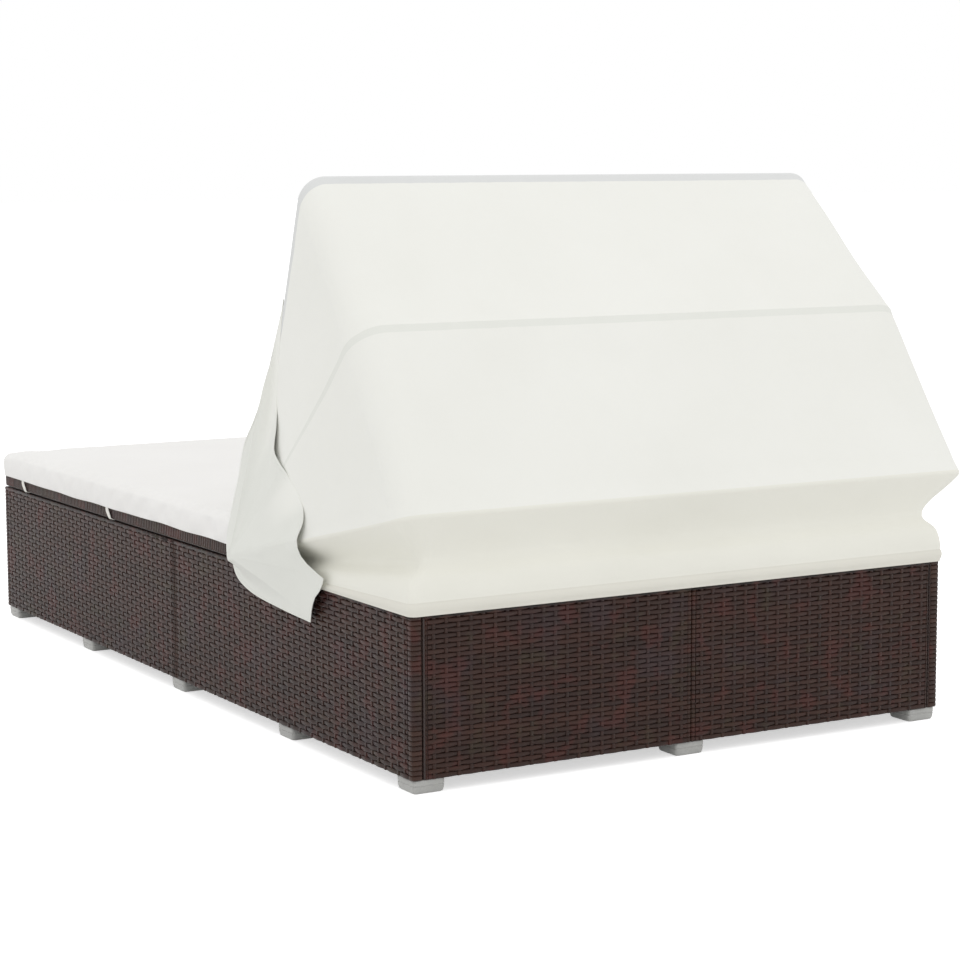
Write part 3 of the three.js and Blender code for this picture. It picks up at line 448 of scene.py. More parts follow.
# Geometry Nodes
class Tree:
    """A Geometry Nodes tree with named inputs: numbers, others by kind, a seed and a material."""

    KINDS = {float: "NodeSocketFloat", int: "NodeSocketInt", bpy.types.Material: "NodeSocketMaterial",
             bpy.types.Object: "NodeSocketObject"}

    def __init__(self, name, numbers=(), **others):
        self.group = bpy.data.node_groups.new(name, "GeometryNodeTree")
        face = self.group.interface
        face.new_socket("Geometry", in_out="INPUT", socket_type="NodeSocketGeometry")
        face.new_socket("Geometry", in_out="OUTPUT", socket_type="NodeSocketGeometry")
        inputs = {**dict.fromkeys(numbers, float), **others, "Seed": int, "Material": bpy.types.Material}
        self.identifiers = {}
        for label, kind in inputs.items():
            made = face.new_socket(label, in_out="INPUT", socket_type=self.KINDS[kind])
            self.identifiers[label] = made.identifier
        self.start = self.group.nodes.new("NodeGroupInput")

    def __getitem__(self, label):
        return Value(self.group, self.start.outputs[label])

    def node(self, kind, settings=None, inputs=None, output=0):
        return self["Geometry"].node(kind, settings, inputs, output)

    def vector(self, x=0.0, y=0.0, z=0.0):
        return self.node("ShaderNodeCombineXYZ", {}, {"X": x, "Y": y, "Z": z})

    def rectangle(self, width, height):
        return self.node("GeometryNodeCurvePrimitiveQuadrilateral", {"mode": "RECTANGLE"},
                         {"Width": width, "Height": height})

    def spaced(self, length, pitch, axis):
        """Points a pitch apart along an axis, as many as fit in the length."""
        return self.node("GeometryNodeMeshLine", {"mode": "OFFSET"},
                         {"Count": (length / pitch + 0.5).math("FLOOR"),
                          "Start Location": self.vector(**{axis: pitch / 2}),
                          "Offset": self.vector(**{axis: pitch})})

    def repeated(self, points, part, turn=(0, 0, 0)):
        """A part at every point, each with its own tone."""
        instances = self.node("GeometryNodeInstanceOnPoints", {},
                              {"Points": points, "Instance": part, "Rotation": turn})
        tone = self.node("FunctionNodeRandomValue", {"data_type": "FLOAT"}, {"Seed": self["Seed"]}, 1)
        return self.node("GeometryNodeStoreNamedAttribute",
                         {"data_type": "FLOAT", "domain": "INSTANCE"},
                         {"Geometry": instances, "Name": "tone", "Value": tone})

    def end(self, *geometry):
        joined = self.group.nodes.new("GeometryNodeJoinGeometry")
        for piece in geometry:
            self.group.links.new(piece.socket, joined.inputs[0])
        whole = Value(self.group, joined.outputs[0])
        real = self.node("GeometryNodeRealizeInstances", {}, {"Geometry": whole})
        smooth = self.node("GeometryNodeSetShadeSmooth", {}, {"Geometry": real})
        made = self.node("GeometryNodeSetMaterial", {}, {"Geometry": smooth, "Material": self["Material"]})
        out = self.group.nodes.new("NodeGroupOutput")
        self.group.links.new(made.socket, out.inputs[0])
        return self


def made_by(tree, name, values, points=()):
    """A plain mesh object from a tree, its inputs and, where it needs them, points."""
    start = bpy.data.meshes.new(name)
    start.from_pydata(points, [], [])
    piece = linked(name, start)
    modifier = piece.modifiers.new("tree", "NODES")
    modifier.node_group = tree.group
    for label, value in values.items():
        modifier[tree.identifiers[label]] = value
    bpy.context.view_layer.update()
    graph = bpy.context.evaluated_depsgraph_get()
    mesh = bpy.data.meshes.new_from_object(piece.evaluated_get(graph), depsgraph=graph)
    piece.modifiers.clear()
    piece.data = mesh
    mesh.name = name
    return piece


def flat_profile(tree, width, thickness):
    """A strand's cross-section: flat in front, thin at its edges."""
    ring = tree.node("GeometryNodeCurvePrimitiveCircle", {"mode": "RADIUS"}, {"Resolution": 6, "Radius": 1.0})
    turned = tree.node("GeometryNodeTransform", {}, {"Geometry": ring, "Rotation": (0, 0, math.radians(30))})
    size = tree.vector(thickness * (1 / math.sqrt(3)), width * 0.5, 1.0)
    return tree.node("GeometryNodeTransform", {}, {"Geometry": turned, "Scale": size})


def swept(tree, path, profile):
    """A profile along a path, kept upright."""
    upright = tree.node("GeometryNodeSetCurveNormal", {"mode": "Z_UP"}, {"Curve": path})
    return tree.node("GeometryNodeCurveToMesh", {},
                     {"Curve": upright, "Profile Curve": profile, "Fill Caps": True})


def weave_tree():
    """Strands that pass over and under upright spokes, the next row the other way round."""
    numbers = ["Length", "Height", "Row Pitch", "Spoke Pitch", "Strand Width", "Strand Thickness", "Wave",
               "Spoke Width", "Spoke Thickness"]
    tree = Tree("woven_face", numbers)
    length, height, row, pitch = (tree[label] for label in numbers[:4])
    line = tree.node("GeometryNodeCurvePrimitiveLine", {}, {"End": tree.vector(length)})
    steps = (length / pitch * 4 + 1.5).math("FLOOR")
    points = tree.node("GeometryNodeResampleCurve", {"mode": "COUNT"}, {"Curve": line, "Count": steps})
    x = tree.node("GeometryNodeInputPosition").parts()[0]
    wave = (x / pitch * math.pi).math("SINE") * tree["Wave"]
    waved = tree.node("GeometryNodeSetPosition", {}, {"Geometry": points, "Offset": tree.vector(0.0, wave)})
    row_strand = swept(tree, waved, flat_profile(tree, tree["Strand Width"], tree["Strand Thickness"]))
    odd = tree.node("GeometryNodeInputIndex").math("MODULO", 2)
    strands = tree.repeated(tree.spaced(height, row, "z"), row_strand, tree.vector(odd * math.pi))
    upright = tree.node("GeometryNodeCurvePrimitiveLine", {}, {"End": tree.vector(0.0, 0.0, height)})
    across = tree.rectangle(tree["Spoke Width"], tree["Spoke Thickness"])
    spoke = tree.node("GeometryNodeCurveToMesh", {},
                      {"Curve": upright, "Profile Curve": across, "Fill Caps": True})
    return tree.end(strands, tree.repeated(tree.spaced(length, pitch, "x"), spoke))


def wrap_tree():
    """Turns of strand round a rail, side by side along it."""
    tree = Tree("wrapped_rail", ["Length", "Pitch", "Rail Width", "Rail Depth", "Corner", "Strand Width",
                                 "Strand Thickness"])
    around = tree.rectangle(tree["Rail Width"], tree["Rail Depth"])
    rounded = tree.node("GeometryNodeFilletCurve", {"mode": "POLY"},
                        {"Curve": around, "Count": 2, "Radius": tree["Corner"]})
    turn = swept(tree, rounded, flat_profile(tree, tree["Strand Width"], tree["Strand Thickness"]))
    places = tree.spaced(tree["Length"], tree["Pitch"], "z")
    return tree.end(tree.repeated(places, turn, (0, TURN_LEAN, 0)))


def repeat_tree():
    """One part repeated at every point of a mesh."""
    tree = Tree("repeated_part", Part=bpy.types.Object)
    part = tree.node("GeometryNodeObjectInfo", {}, {"Object": tree["Part"]}, 4)
    return tree.end(tree.repeated(tree["Geometry"], part))


woven_face = weave_tree()
wrapped_rail = wrap_tree()
repeated_part = repeat_tree()


def stand(piece, origin, x_axis, y_axis):
    """Turns a piece's mesh to its axes and moves it to its place."""
    x_axis, y_axis = Vector(x_axis), Vector(y_axis)
    turn = Matrix((x_axis, y_axis, x_axis.cross(y_axis))).transposed().to_4x4()
    piece.data.transform(Matrix.Translation(Vector(origin)) @ turn)
    return piece


# Meshes from rows of points
def finished(name, mesh, materials):
    """A smooth piece from a mesh and its materials."""
    for material in materials:
        mesh.materials.append(material)
    mesh.shade_smooth()
    return linked(name, mesh)


def mesh_piece(name, points, faces, materials):
    mesh = bpy.data.meshes.new(name)
    mesh.from_pydata([tuple(p) for p in points], [], faces)
    return finished(name, mesh, materials)


def outward(piece):
    """Turns the faces of a closed mesh outwards."""
    shell = bmesh.new()
    shell.from_mesh(piece.data)
    bmesh.ops.remove_doubles(shell, verts=shell.verts, dist=1e-6)
    bmesh.ops.recalc_face_normals(shell, faces=shell.faces)
    shell.to_mesh(piece.data)
    shell.free()
    return piece


def joined(name, parts):
    """Several pieces as one mesh."""
    whole = bmesh.new()
    materials = []
    for part in parts:
        if part.data.materials[0] not in materials:
            materials.append(part.data.materials[0])
        index = materials.index(part.data.materials[0])
        part.data.polygons.foreach_set("material_index", [index] * len(part.data.polygons))
        whole.from_mesh(part.data)
        bpy.data.objects.remove(part)
    mesh = bpy.data.meshes.new(name)
    whole.to_mesh(mesh)
    whole.free()
    return finished(name, mesh, materials)


def ring_faces(rings, sides, looped=False):
    """Faces between rings of points. Looped joins the last to the first, otherwise both ends are closed."""
    faces = []
    for i in range(rings if looped else rings - 1):
        this, after = i * sides, (i + 1) % rings * sides
        faces += [(this + k, this + (k + 1) % sides, after + (k + 1) % sides, after + k)
                  for k in range(sides)]
    if not looped:
        faces += [tuple(range(sides)), tuple(range((rings - 1) * sides, rings * sides))]
    return faces


def grid_faces(rows, columns):
    """The faces between points in rows and columns."""
    return [(i * columns + j, i * columns + j + 1, (i + 1) * columns + j + 1, (i + 1) * columns + j)
            for i in range(rows - 1) for j in range(columns - 1)]


def unit(vectors):
    return vectors / np.maximum(np.linalg.norm(vectors, axis=-1, keepdims=True), 1e-12)


def part_way(value, low, high):
    """0 at low, 1 at high and evenly between."""
    return np.clip((value - low) / (high - low), 0, 1)


def smoothstep(value, low, high):
    share = part_way(value, low, high)
    return share * share * (3 - 2 * share)


def through(keys, counts):
    """Rows on a smooth curve through key rows, so many to each stretch."""
    ends = [2 * keys[0] - keys[1], *keys, 2 * keys[-1] - keys[-2]]
    rows = []
    for i, count in enumerate(counts):
        p0, p1, p2, p3 = ends[i:i + 4]
        for t in np.linspace(0, 1, count, endpoint=False):
            rows.append(0.5 * (2 * p1 + (p2 - p0) * t + (2 * p0 - 5 * p1 + 4 * p2 - p3) * t ** 2
                               + (3 * p1 - p0 - 3 * p2 + p3) * t ** 3))
    return rows + [keys[-1]]


def tube(name, line, radius, material, sides=20):
    """A round tube along a line of points, with closed ends."""
    line = np.asarray(line, float)
    along = unit(np.gradient(line, axis=0))
    across = np.cross(along, [0.0, 0.0, 1.0])
    if np.linalg.norm(across, axis=1).min() < 0.2:
        across = np.cross(along, [0.3, 1.0, 0.2])
    across = unit(across)
    up = np.cross(across, along)
    angles = np.linspace(0, 2 * math.pi, sides, endpoint=False)
    rings = (line[:, None] + radius * (across[:, None] * np.cos(angles)[None, :, None]
                                       + up[:, None] * np.sin(angles)[None, :, None]))
    return outward(mesh_piece(name, rings.reshape(-1, 3), ring_faces(len(line), sides), [material]))


# Woven box: strands on the outer face of each panel, wrapped rails at its ends
def wrapped_strip(name, length, width, depth, corner, seed):
    """A rail with strand wound round it, upright at the origin."""
    return made_by(wrapped_rail, name, {
        "Length": length, "Pitch": length / round(length / ROW_PITCH), "Rail Width": width,
        "Rail Depth": depth, "Corner": corner, "Strand Width": STRAND_WIDTH,
        "Strand Thickness": STRAND_THICKNESS, "Seed": seed, "Material": wrap_strand})


def panel_face(name, node, along, out, edge, seam, end_depth=0.0):
    """Dresses one panel. along runs from its outer end to the seam in the middle."""
    low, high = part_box(node)
    along, out = Vector(along), Vector(out)
    span = abs((high - low).dot(along))
    height = high.z - low.z
    corner = Vector([(high if a + o > 0 else low)[i] for i, (a, o) in enumerate(zip(-along, out))])
    corner.z = low.z
    length = span - edge - seam
    mirrored = along.cross(out).z < 0
    start = corner + along * (edge + (length if mirrored else 0))
    run = -along if mirrored else along
    face = made_by(woven_face, name + "_weave", {
        "Length": length, "Height": height, "Row Pitch": height / round(height / ROW_PITCH),
        "Spoke Pitch": length / round(length / SPOKE_PITCH), "Strand Width": STRAND_WIDTH,
        "Strand Thickness": STRAND_THICKNESS, "Wave": STRAND_WAVE, "Spoke Width": SPOKE_WIDTH,
        "Spoke Thickness": SPOKE_THICKNESS, "Seed": len(name) + int(100 * height), "Material": strand})
    stand(face, start + out * (SPOKE_THICKNESS / 2), run, out)
    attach(face, "base")
    # The rim's darker strand also paints the shadow line along the panel's top edge
    rim_at = corner + Vector((0, 0, height - RIM_RADIUS)) - out * (RIM_RADIUS - STRIP_PROUD - RIM_PROUD)
    rim_line = [rim_at + along * (RIM_START + (span - RIM_SHORTER) * k / 6) for k in range(7)]
    rim = tube(name + "_rim", rim_line, RIM_RADIUS, rim_strand_and_painted_shadow, 12)
    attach(rim, "base")
    gap = 0.0 if end_depth else CORNER_GAP
    for place, width, middle, depth in (("edge", edge - gap, (edge + gap) / 2, end_depth),
                                        ("seam", seam, span - seam / 2, 0.0)):
        strip = wrapped_strip(f"{name}_{place}_wrap", height, width - (0 if depth else SEAM_GAP),
                              max(depth, STRIP_DEPTH), STRIP_CORNER, 5 + len(name))
        wrapped = middle - (STRAND_THICKNESS / 2 if depth else 0)
        centre = (corner + along * wrapped
                  + out * (STRIP_PROUD - max(depth, STRIP_DEPTH) / 2 - STRAND_THICKNESS / 2))
        stand(strip, centre, run, out)
        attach(strip, "base")


for side, x in SIDES:
    for end, y in (("head", 1), ("foot", -1)):
        panel_face(f"side_{end}_{side}", f"side_panel_{end}_{side}", (0, -y, 0), (x, 0, 0),
                   EDGE_STRIP, SEAM_STRIP, PANEL_WRAP)
        panel_face(f"end_{end}_{side}", f"end_panel_{end}_{side}", (-x, 0, 0), (0, y, 0),
                   EDGE_STRIP / 2, SEAM_STRIP)


# Deck edges: strand wrapped round the outer rail, with a joint in the wrapping
def deck_edge(name, origin, along, out, length, height):
    """A wrapped rail from origin, that runs length in the direction along."""
    strip = wrapped_strip(name, length, height - STRAND_THICKNESS, STRIP_DEPTH, DECK_WRAP_CORNER, len(name))
    along, out = Vector(along), Vector(out)
    centre = Vector(origin) + out * (STRIP_PROUD - DECK_WRAP_BACK - STRIP_DEPTH / 2)
    stand(strip, centre, out.cross(along), out)
    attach(strip, "base")


foot_low, foot_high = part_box("deck_foot")
seat_low, seat_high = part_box("deck_seat")
deck_middle = (foot_low.z + foot_high.z) / 2
deck_height = foot_high.z - foot_low.z
for side, x in SIDES:
    for part, start, stop in (("foot", foot_low.y + STRIP_DEPTH / 2, DECK_WRAP_SEAM - DECK_WRAP_GAP),
                              ("joint", DECK_WRAP_SEAM + DECK_WRAP_GAP, foot_high.y),
                              ("seat", seat_low.y, seat_high.y)):
        deck_edge(f"deck_edge_{part}_{side}", (x * foot_high.x, start, deck_middle), (0, 1, 0),
                  (x, 0, 0), stop - start, deck_height)
deck_edge("deck_edge_foot_end", (foot_low.x + STRIP_DEPTH / 2, foot_low.y, deck_middle), (1, 0, 0),
          (0, -1, 0), foot_high.x - foot_low.x - STRIP_DEPTH, deck_height)


def eye(name, centre, half, radius, bore, material, sides=32):
    """A bored barrel along X with its rims eased."""
    ease = radius * EYE_EASE
    profile = [(-half, bore), (-half, radius - ease), (-half + ease, radius), (half - ease, radius),
               (half, radius - ease), (half, bore)]
    angles = np.linspace(0, 2 * math.pi, sides, endpoint=False)
    points = [(centre[0] + x, centre[1] + r * math.cos(a), centre[2] + r * math.sin(a))
              for x, r in profile for a in angles]
    faces = ring_faces(len(profile), sides, looped=True)
    piece = outward(mesh_piece(name, points, faces, [material]))
    piece.data.set_sharp_from_angle(angle=math.radians(40))
    return piece


# Hoops: round tube with a barrel eye at each end
def joint_place(name):
    return Vector(next(joint for joint in frame["joints"] if joint["name"] == name)["pos_m"])


PIVOT = joint_place("backrest_lift")
Hoop = namedtuple("Hoop", "half splay reach tilt sway corner")


def hoop_shape(node):
    """A hoop's sizes from its solid, whose widest place is where its leg meets the corner."""
    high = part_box(node)[1]
    out = high.y - HOOP_TUBE - PIVOT.y
    up = high.z - HOOP_TUBE - PIVOT.z
    reach = math.hypot(out, up)
    splay = HOOP_SPLAY[node]
    half = high.x - HOOP_TUBE - splay * (1 - SOLID_CORNER / reach)
    return Hoop(half, splay + HOOP_SPREAD[node], reach, math.atan2(up, out), HOOP_SWAY[node],
                HOOP_CORNER[node])


rear, mid, front = (hoop_shape(node) for node in ("rear_hoop", "mid_hoop", "front_hoop"))


def hoop_plan(hoop, start, legs, corners, bars):
    """Stations along a hoop as (x, distance from the pivot), from its right leg to its left leg."""
    leg_end = hoop.reach - hoop.corner
    bar_end = hoop.half - hoop.corner
    angles = np.linspace(0, math.pi / 2, corners, endpoint=False)
    right = [(hoop.half, r) for r in np.linspace(start, leg_end, legs, endpoint=False)]
    right += [(bar_end + hoop.corner * math.cos(a), leg_end + hoop.corner * math.sin(a)) for a in angles]
    bar = [(x, hoop.reach) for x in np.linspace(bar_end, -bar_end, bars)]
    left = [(-x, r) for x, r in reversed(right)]
    return np.array(right + bar + left)


def leg_sway(hoop, r):
    """How far a hoop leans to the left at a distance from the pivot."""
    return hoop.sway * smoothstep(r, *SWAY_RISE)


def on_hoop(hoop, plan):
    """Places stations in the hoop's leaning plane, its legs spread and swayed to the left."""
    r = plan[:, 1]
    x = plan[:, 0] * (1 + hoop.splay / hoop.half * r / hoop.reach) - leg_sway(hoop, r)
    return np.stack([x, PIVOT.y + r * math.cos(hoop.tilt), PIVOT.z + r * math.sin(hoop.tilt)], 1)


for name, body, hoop in (("rear_hoop", "rear_bow", rear), ("mid_hoop", "mid_bow", mid),
                         ("front_hoop", "front_bow", front)):
    line = on_hoop(hoop, hoop_plan(hoop, TUBE_START, *TUBE_STATIONS))
    parts = [tube(name + "_tube", line, HOOP_TUBE, pale_coat)]
    parts += [eye(name + "_eye", (x, PIVOT.y, PIVOT.z), EYE_HALF, EYE_RADIUS, BOLT_RADIUS, eye_plastic)
              for x in (hoop.half, -hoop.half)]
    piece = joined(name + "_bent_tube", parts)
    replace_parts(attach(piece, body), name)


# Stay: two arms and a foot bar
stay_low, stay_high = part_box("backrest_stay")
stay_pivot = joint_place("stay_swing")
foot_bar = Vector((0, stay_high.y - STAY_TUBE, stay_low.z + STAY_TUBE))
pin_low, pin_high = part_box("stay_pin_right")
arm_x = (pin_low.x + pin_high.x) / 2
bar_line = [(x, foot_bar.y, foot_bar.z) for x in (stay_low.x, 0, stay_high.x)]
parts = [tube("stay_bar", bar_line, STAY_TUBE, coat, STAY_SIDES)]
for x in (arm_x, -arm_x):
    ends = [Vector((x, stay_pivot.y, stay_pivot.z)), Vector((x, foot_bar.y, foot_bar.z))]
    ends[0] += (ends[1] - ends[0]).normalized() * STAY_EYE * STAY_ARM_START
    parts.append(tube("stay_arm", ends, STAY_TUBE, coat, STAY_SIDES))
    parts.append(eye("stay_eye", (x, stay_pivot.y, stay_pivot.z), STAY_EYE_HALF, STAY_EYE, STAY_BORE, coat))
stay = joined("backrest_prop_frame", parts)
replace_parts(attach(stay, "stay"), "backrest_stay")


# Feet: one moulded cup, repeated under the box
def foot_cup(size, height):
    """A square cup: chamfered sole, waist groove and a rolled upper lip."""
    half = size / 2
    rows = [(0.0, 0.0036), (0.0016, 0.002), (0.006, 0.0008), (0.0125, 0.0002), (0.0132, 0.0009),
            (0.0142, 0.0009), (0.0149, 0.0), (height - 0.0022, 0.0), (height - 0.0006, 0.0008),
            (height, 0.0026)]
    outline = []
    for cx, cy, from_angle in ((1, 1, 0), (-1, 1, 90), (-1, -1, 180), (1, -1, 270)):
        for step in range(5):
            angle = math.radians(from_angle + 90 * step / 4)
            outline.append((cx, cy, math.cos(angle), math.sin(angle)))
    rounding = 0.006
    points = []
    for z, inset in rows:
        inner = half - inset - rounding
        points += [(cx * inner + rounding * c, cy * inner + rounding * s, z) for cx, cy, c, s in outline]
    faces = ring_faces(len(rows), len(outline))
    cup = outward(mesh_piece("one_foot_cup", points, faces, [foot_plastic]))
    cup.data.set_sharp_from_angle(angle=math.radians(35))
    return cup


foot_nodes = sorted(n for n in frame["nodes"] if "foot_" in n and not n.startswith(
    ("cross_rail", "centre_post", "mattress", "side_panel", "end_panel")))
foot_places = []
for node in foot_nodes:
    low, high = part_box(node)
    foot_places.append(((low.x + high.x) / 2, (low.y + high.y) / 2, 0))
one_low, one_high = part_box(foot_nodes[0])
cup = foot_cup(one_high.x - one_low.x, one_high.z)
feet = made_by(repeated_part, "foot_cups", {"Part": cup, "Seed": 3, "Material": foot_plastic}, foot_places)
bpy.data.objects.remove(cup)
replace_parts(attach(feet, "base"), *foot_nodes)


# Canopy
def ripples(points, length, seed, count=9):
    """A smooth, seeded unevenness from -1 to 1 with about this wavelength."""
    wave = np.random.default_rng(seed)
    total = np.zeros(points.shape[:-1])
    for _ in range(count):
        direction = unit(wave.normal(size=3)) * 2 * math.pi / (length * wave.uniform(0.6, 1.7))
        total += np.sin(points @ direction + wave.uniform(0, 2 * math.pi))
    return total / math.sqrt(count * 2)


def slerp(a, b, share):
    """Directions between two sets of them."""
    return unit(a * (1 - share) + b * share)


def strip_normals(one, other):
    """Outward normals of the ruled strip between two lines of stations."""
    along = np.gradient(one, axis=0) + np.gradient(other, axis=0)
    normal = unit(np.cross(along, other - one))
    out = (one + other) / 2 - np.array(PIVOT)
    return np.where((normal * out).sum(1, keepdims=True) < 0, -normal, normal)


def cloth_line(hoop, start):
    """Stations for cloth along a hoop."""
    return on_hoop(hoop, hoop_plan(hoop, start, *CLOTH_STATIONS))


rear_line, mid_line, front_line = (cloth_line(hoop, CLOTH_START) for hoop in (rear, mid, front))
front_normals = strip_normals(front_line, mid_line)
rear_normals = strip_normals(mid_line, rear_line)


def square_to(normals, line):
    """The part of each normal that is square to the tube."""
    along = unit(np.gradient(line, axis=0))
    return unit(normals - (normals * along).sum(1, keepdims=True) * along)


def gore_rows(upper, lower, normals, steps):
    """Rows over the tight strip between two hoops, and the angles they keep about the pivot."""
    chord = lower - upper
    length = np.linalg.norm(chord, axis=1, keepdims=True)
    upper_square = square_to(normals, upper)
    lower_square = square_to(normals, lower)
    rows, angles = [], []
    for share in np.linspace(0, 1, steps):
        line = upper + chord * share
        sag = GORE_SAG * 4 * share * (1 - share) * np.minimum(length / GORE_SAG_FROM, 1)
        rows.append(line + slerp(upper_square, lower_square, share) * (CLOTH_OFFSET - sag))
        angles.append(np.arctan2(line[:, 2] - PIVOT.z, line[:, 1] - PIVOT.y))
    return rows, angles


def cloth_piece(name, grid, normals, materials, share, hems=(), thickness=CLOTH):
    """A closed sheet: grid holds its outer side, hems name the face rows of the second material."""
    count, columns = grid.shape[:2]
    points = np.concatenate([grid.reshape(-1, 3), (grid - normals * thickness).reshape(-1, 3)])
    outer = grid_faces(count, columns)
    middle = (count // 2, columns // 2)
    down = grid[middle[0] + 1, middle[1]] - grid[middle]
    side = grid[middle[0], middle[1] + 1] - grid[middle]
    if np.dot(np.cross(side, down), normals[middle]) < 0:
        outer = [face[::-1] for face in outer]
    back = len(points) // 2
    inner = [tuple(v + back for v in face[::-1]) for face in outer]
    used = {(a, b) for face in outer for a, b in zip(face, face[1:] + face[:1])}
    rim = [(b, a, a + back, b + back) for a, b in used if (b, a) not in used]
    piece = mesh_piece(name, points, outer + inner + sorted(rim), materials)
    mesh = piece.data
    area = sum(face.area for face in mesh.polygons[:len(outer)])
    bands = [1 if i // (columns - 1) in hems else 0 for i in range(len(outer))]
    mesh.polygons.foreach_set("material_index", bands * 2 + [0] * len(rim))
    mesh.attributes.new("kind", "INT", "FACE").data.foreach_set(
        "value", [1] * len(outer) + [-1] * len(inner) + [0] * len(rim))
    mesh.attributes.new("turn_share", "FLOAT", "POINT").data.foreach_set(
        "value", np.tile(np.broadcast_to(share, (count, columns)).ravel(), 2).astype(np.float32))
    mesh.attributes.new("outward", "FLOAT_VECTOR", "POINT").data.foreach_set(
        "vector", np.tile(normals.reshape(-1, 3), (2, 1)).astype(np.float32).ravel())
    shell = bmesh.new()
    shell.from_mesh(mesh)
    bmesh.ops.remove_doubles(shell, verts=shell.verts, dist=2e-6)
    shell.to_mesh(mesh)
    shell.free()
    smooth_sides(mesh)
    return piece, area


def smooth_sides(mesh):
    """Sets a sheet's normals from its outward directions, turned round inside and flat on its rim."""
    lean = [v.vector.copy() for v in mesh.attributes["outward"].data]
    kinds = [v.value for v in mesh.attributes["kind"].data]
    smooth = [Vector()] * len(mesh.loops)
    for face, kind in zip(mesh.polygons, kinds):
        for loop, vertex in zip(face.loop_indices, face.vertices):
            smooth[loop] = lean[vertex] * kind if kind else face.normal.copy()
    mesh.normals_split_custom_set(smooth)
    mesh.attributes.remove(mesh.attributes["outward"])
    mesh.attributes.remove(mesh.attributes["kind"])


def grid_normals(grid):
    """Unit normals of a grid of points, away from the middle of the canopy."""
    normal = unit(np.cross(np.gradient(grid, axis=1), np.gradient(grid, axis=0)))
    out = grid - np.array([0, PIVOT.y + CANOPY_MIDDLE, PIVOT.z])
    return -normal if (normal * out).sum() < 0 else normal


def bend(piece, low_body, high_body):
    """Bakes a piece's transform and drops its turn shares, which count angles round the pivot. Its two bodies
    are not used.
    """
    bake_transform(piece)
    shares = np.zeros(len(piece.data.vertices), np.float32)
    piece.data.attributes["turn_share"].data.foreach_get("value", shares)
    piece.data.attributes.remove(piece.data.attributes["turn_share"])
    return piece


def rippled(grid, length, depth, seed, free):
    """Moves a grid a little in and out; free says how far each row may go."""
    moved = ripples(grid, length, seed) * depth * np.asarray(free)[:, None]
    return grid + grid_normals(grid) * moved[..., None]


def tucked(grid, row, depth, seed):
    """Draws a seam in beside a tube, tighter in some places than in others."""
    steps = np.linalg.norm(np.diff(grid, axis=0), axis=2)
    along = np.concatenate([np.zeros((1, grid.shape[1])), np.cumsum(steps, axis=0)])
    spacing = (along[row + 1] - along[row - 1]) / 2
    spacing = np.array([spacing[max(i - 4, 0):i + 5].min() for i in range(len(spacing))])
    near = np.exp(-((along - along[row]) / (spacing + 0.001)) ** 2)
    pull = 0.65 + 0.5 * ripples(grid, TUCK_LENGTH, seed)
    return grid - grid_normals(grid) * (near * pull * np.minimum(depth, spacing * TUCK_STEEPEST))[..., None]


def bulging(count):
    """How free each of a run of rows is between two seams."""
    return list(np.sin(np.linspace(0, math.pi, count)))


# Gores: one grid from the sleeve on the front hoop to the rear hoop, split at the middle hoop
def sleeve_rows():
    """Rows round the front hoop, from the sleeve's inner edge to the top of the tube."""
    square = square_to(front_normals, front_line)
    ahead = unit(np.cross(square, np.gradient(front_line, axis=0)))
    ahead *= np.sign((ahead * (front_line - mid_line)).sum(1, keepdims=True))
    return [front_line + CLOTH_OFFSET * (square * math.cos(angle) + ahead * math.sin(angle))
            for angle in np.linspace(SLEEVE_TURN, 0, SLEEVE_ROWS + 1)[:-1]]


def fold_rows():
    """Rows round the middle hoop, from one gore's side to the other's."""
    before, after = square_to(front_normals, mid_line), square_to(rear_normals, mid_line)
    return [mid_line + CLOTH_OFFSET * slerp(before, after, share)
            for share in np.linspace(0, 1, 2 * FOLD_ROWS + 1)[1:-1]]


front_rows, front_angles = gore_rows(front_line, mid_line, front_normals, GORE_ROWS)
rear_rows, rear_angles = gore_rows(mid_line, rear_line, rear_normals, GORE_ROWS)
over_mid = fold_rows()
gore_grid = np.array(sleeve_rows() + front_rows + over_mid + rear_rows)
free = [0] * SLEEVE_ROWS + bulging(GORE_ROWS) + [0] * len(over_mid) + bulging(GORE_ROWS)
gore_grid = rippled(gore_grid, length=0.3, depth=0.0022, seed=3, free=free)
under_front = SLEEVE_ROWS + 1
above_mid = SLEEVE_ROWS + GORE_ROWS - 2
below_mid = above_mid + 2 * FOLD_ROWS + 2
above_rear = len(gore_grid) - 3
for row, depth, seed in ((under_front, 0.0012, 31), (above_mid, 0.0016, 32), (below_mid, 0.0020, 33),
                         (above_rear, 0.0016, 34)):
    gore_grid = tucked(gore_grid, row, depth, seed)
normals = grid_normals(gore_grid)
split = SLEEVE_ROWS + GORE_ROWS + FOLD_ROWS - 1

shares = [np.ones(len(front_line))] * SLEEVE_ROWS
shares += [part_way(angle, mid.tilt, front.tilt) for angle in front_angles]
shares += [np.zeros(len(front_line))] * FOLD_ROWS
# The sleeve rows take the grey sleeve cloth, painted shade where the sleeve turns away from the light
gore, gore_area = cloth_piece("canopy_front_panel", gore_grid[:split + 1], normals[:split + 1],
                              [canopy_cloth, painted_shade_sleeve_cloth], np.array(shares), range(under_front))
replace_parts(bend(gore, "mid_bow", "front_bow"), "canopy_front_gore")

shares = [np.ones(len(rear_line))] * FOLD_ROWS
shares += [part_way(angle, rear.tilt, mid.tilt) for angle in rear_angles]
# The rows over the middle hoop take the band cloth, painted shade along the hoop's pocket
gore, gore_area = cloth_piece("canopy_rear_panel", gore_grid[split:], normals[split:],
                              [canopy_cloth, painted_shade_band_cloth], np.array(shares), range(FOLD_ROWS + 1))
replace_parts(bend(gore, "rear_bow", "mid_bow"), "canopy_rear_gore")

